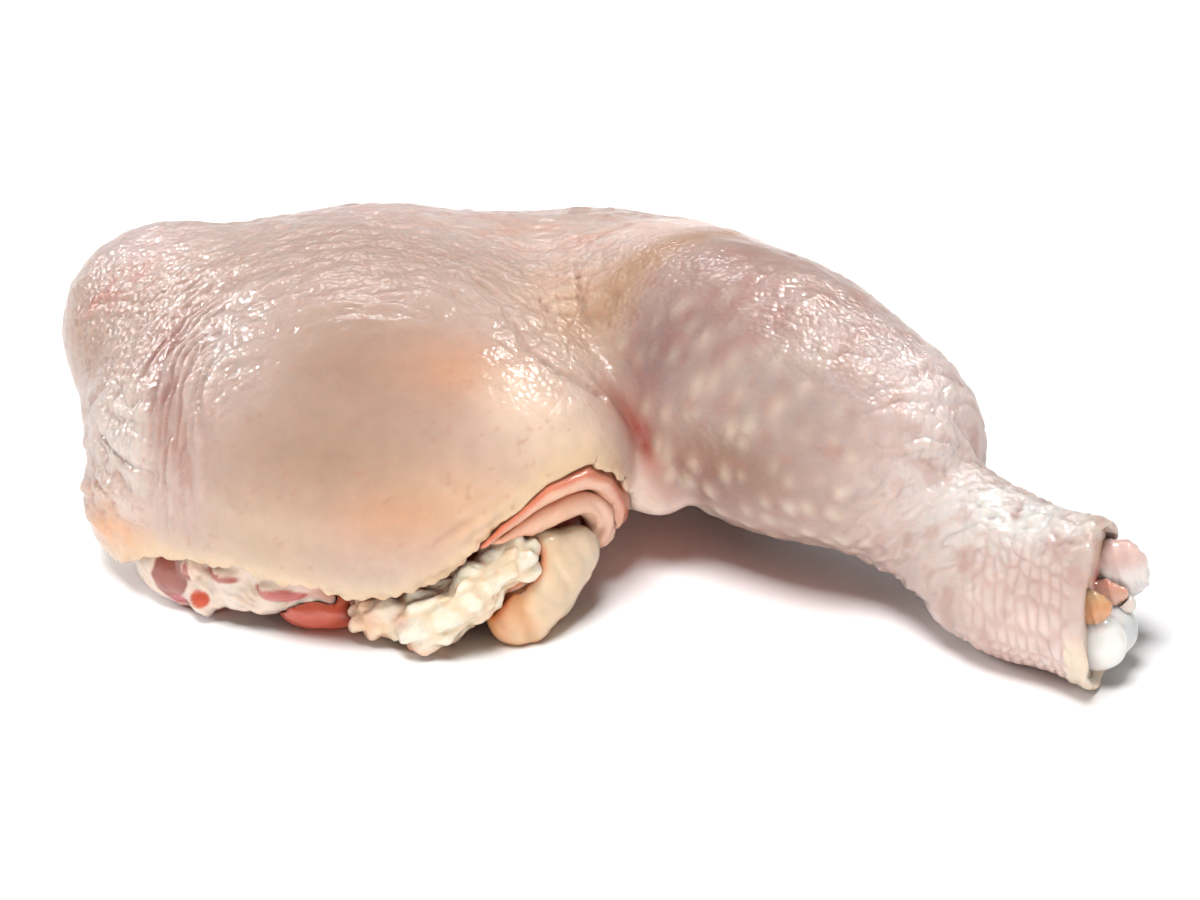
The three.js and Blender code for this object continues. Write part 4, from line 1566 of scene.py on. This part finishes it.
# painted shade towards the paper
paint = tint(paint, 0.5 * smooth(-places[:, 2], -2.2, -0.5), tone(236, 166, 110))
store(flap, "paint", paint)
smooth_fat = wet_flesh("smooth_fat", scatter=1.6, coat=0.4, coat_roughness=0.16, roughness=0.42,
                       grain=2.4, grain_depth=0.06, fine=0.8, fine_depth=0.03, weight=0.9)
place_piece(flap, smooth_fat, "fat_flap", "fat_flap")

# %% [markdown]
# ## Rolled skin
#
# At the knee pit the skin is slack and has rolled in under the hem twice. A cloth simulation
# could fold it so, but hardly in the same place each time. Two rods bent along smooth curves,
# cut by the hem and by each other, give the same rolls and stay where they are put.

# %% Paths of the rolls
ROLLS = {
    "outer_fold": [
        (-19.5, -28.4, 22), (-9.3, -21.3, 25.9), (-1.9, -14.6, 24.9), (2.2, -9.6, 18),
        (1.6, -8.2, 13.2),
    ],
    "inner_fold": [
        (-15.8, -25.2, 19.6), (-8.4, -19.8, 20.9), (-2.8, -14, 19.6), (0.2, -10.2, 14),
        (-0.2, -9.2, 10.5),
    ],
}
ROLL_RADIUS = {"outer_fold": 2.9, "inner_fold": 2.8}
# orange-red painted shade lies along this line, in the crease between the rolls
SHADED_FOLD_CREASE = [(-17.5, -28.5, 21.6), (-9, -23, 23.6), (-2.6, -16, 22.6), (1, -11, 15.6)]


def curve_through(bends, steps=6):
    """More points on a smooth curve through the given ones."""
    bends = np.array(bends, float)
    ends = np.concatenate([[2 * bends[0] - bends[1]], bends, [2 * bends[-1] - bends[-2]]])
    path = []
    for before, start, end, after in zip(ends, ends[1:], ends[2:], ends[3:]):
        for t in np.arange(steps) / steps:
            path.append(0.5 * (2 * start + (end - before) * t
                               + (2 * before - 5 * start + 4 * end - after) * t**2
                               + (3 * start - before - 3 * end + after) * t**3))
    return [*path, bends[-1]]


PATHS = {name: curve_through(bends) for name, bends in ROLLS.items()}


# %% Shapes of the rolls
def roll(points, name):
    closest = np.full(len(points), np.inf)
    for start, end in zip(PATHS[name][:-1], PATHS[name][1:]):
        closest = np.minimum(closest, rod(points, start, end, 0, 0))
    return closest - ROLL_RADIUS[name]


def outer_distance(points):
    form = clear_of(roll(points, "outer_fold"), eggs(points, FAT_PAD), eggs(points, FAT_FLAP))
    return tucked_in(points, form)


def inner_distance(points):
    form = clear_of(roll(points, "inner_fold"), roll(points, "outer_fold"))
    form = clear_of(form, eggs(points, FAT_PAD), eggs(points, FAT_FLAP))
    return tucked_in(points, form)


def roll_relief(points):
    """Fine lengthwise wrinkles, deeper where the rolls turn down at the right."""
    turn = smooth(points[:, 0], -4, 3)
    lines = billows(np.linalg.norm(points - (-6, -16, 14), axis=1) / 1.2, points[:, 0] / 8, 97)
    return (0.25 + 0.6 * turn) * lines


# %% Make the rolls
folded_skin = wet_flesh("folded_skin", scatter=1.6, coat=0.5, coat_roughness=0.14, roughness=0.42,
                        grain=1.6, grain_depth=0.05, fine=0.6, fine_depth=0.03)
for name, distance in (("outer_fold", outer_distance), ("inner_fold", inner_distance)):
    fold = shaped(name + "_piece", distance, UNDER_LOW, UNDER_HIGH,
                  cell=0.55, relief=roll_relief)
    places = points_of(fold)
    paint = np.tile(tone(264, 210, 178), (len(places), 1))
    paint = tint(paint, 0.6 * smooth(places[:, 0], -4, 4), tone(262, 218, 196))
    # painted shade: red-orange close under the hem's overhang
    shade_under_hem = np.exp(-(((hem_level(places) + 0.2) / 0.8) ** 2))
    # painted shade where a roll lies against the fat and the other roll
    beside = contact_shade(eggs(places, FAT_PAD), eggs(places, FAT_FLAP),
                      roll(places, "outer_fold" if name == "inner_fold" else "inner_fold"))
    paint = tint(paint, 0.5 * beside, tone(230, 134, 88))
    paint = tint(paint, 0.75 * shade_under_hem, tone(216, 92, 50))
    # painted shade in the crease
    paint = tint(paint, 0.8 * near_line(places, SHADED_FOLD_CREASE, 1.0), tone(214, 104, 60))
    store(fold, "paint", paint)
    place_piece(fold, folded_skin, "skin_fold", name)

# %% [markdown]
# ## Size
#
# The dressed leg has to fill the box of the plain solids and stay inside it, but for a few
# millimetres of relief. Both boxes are measured and printed.

# %% Sizes and finish
boxes = {
    "cad": [list(map(float, corner)) for corner in cad_box],
    "visual": [list(map(float, corner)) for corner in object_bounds()],
}
print("CAD box", boxes["cad"])
print("visual box", boxes["visual"])
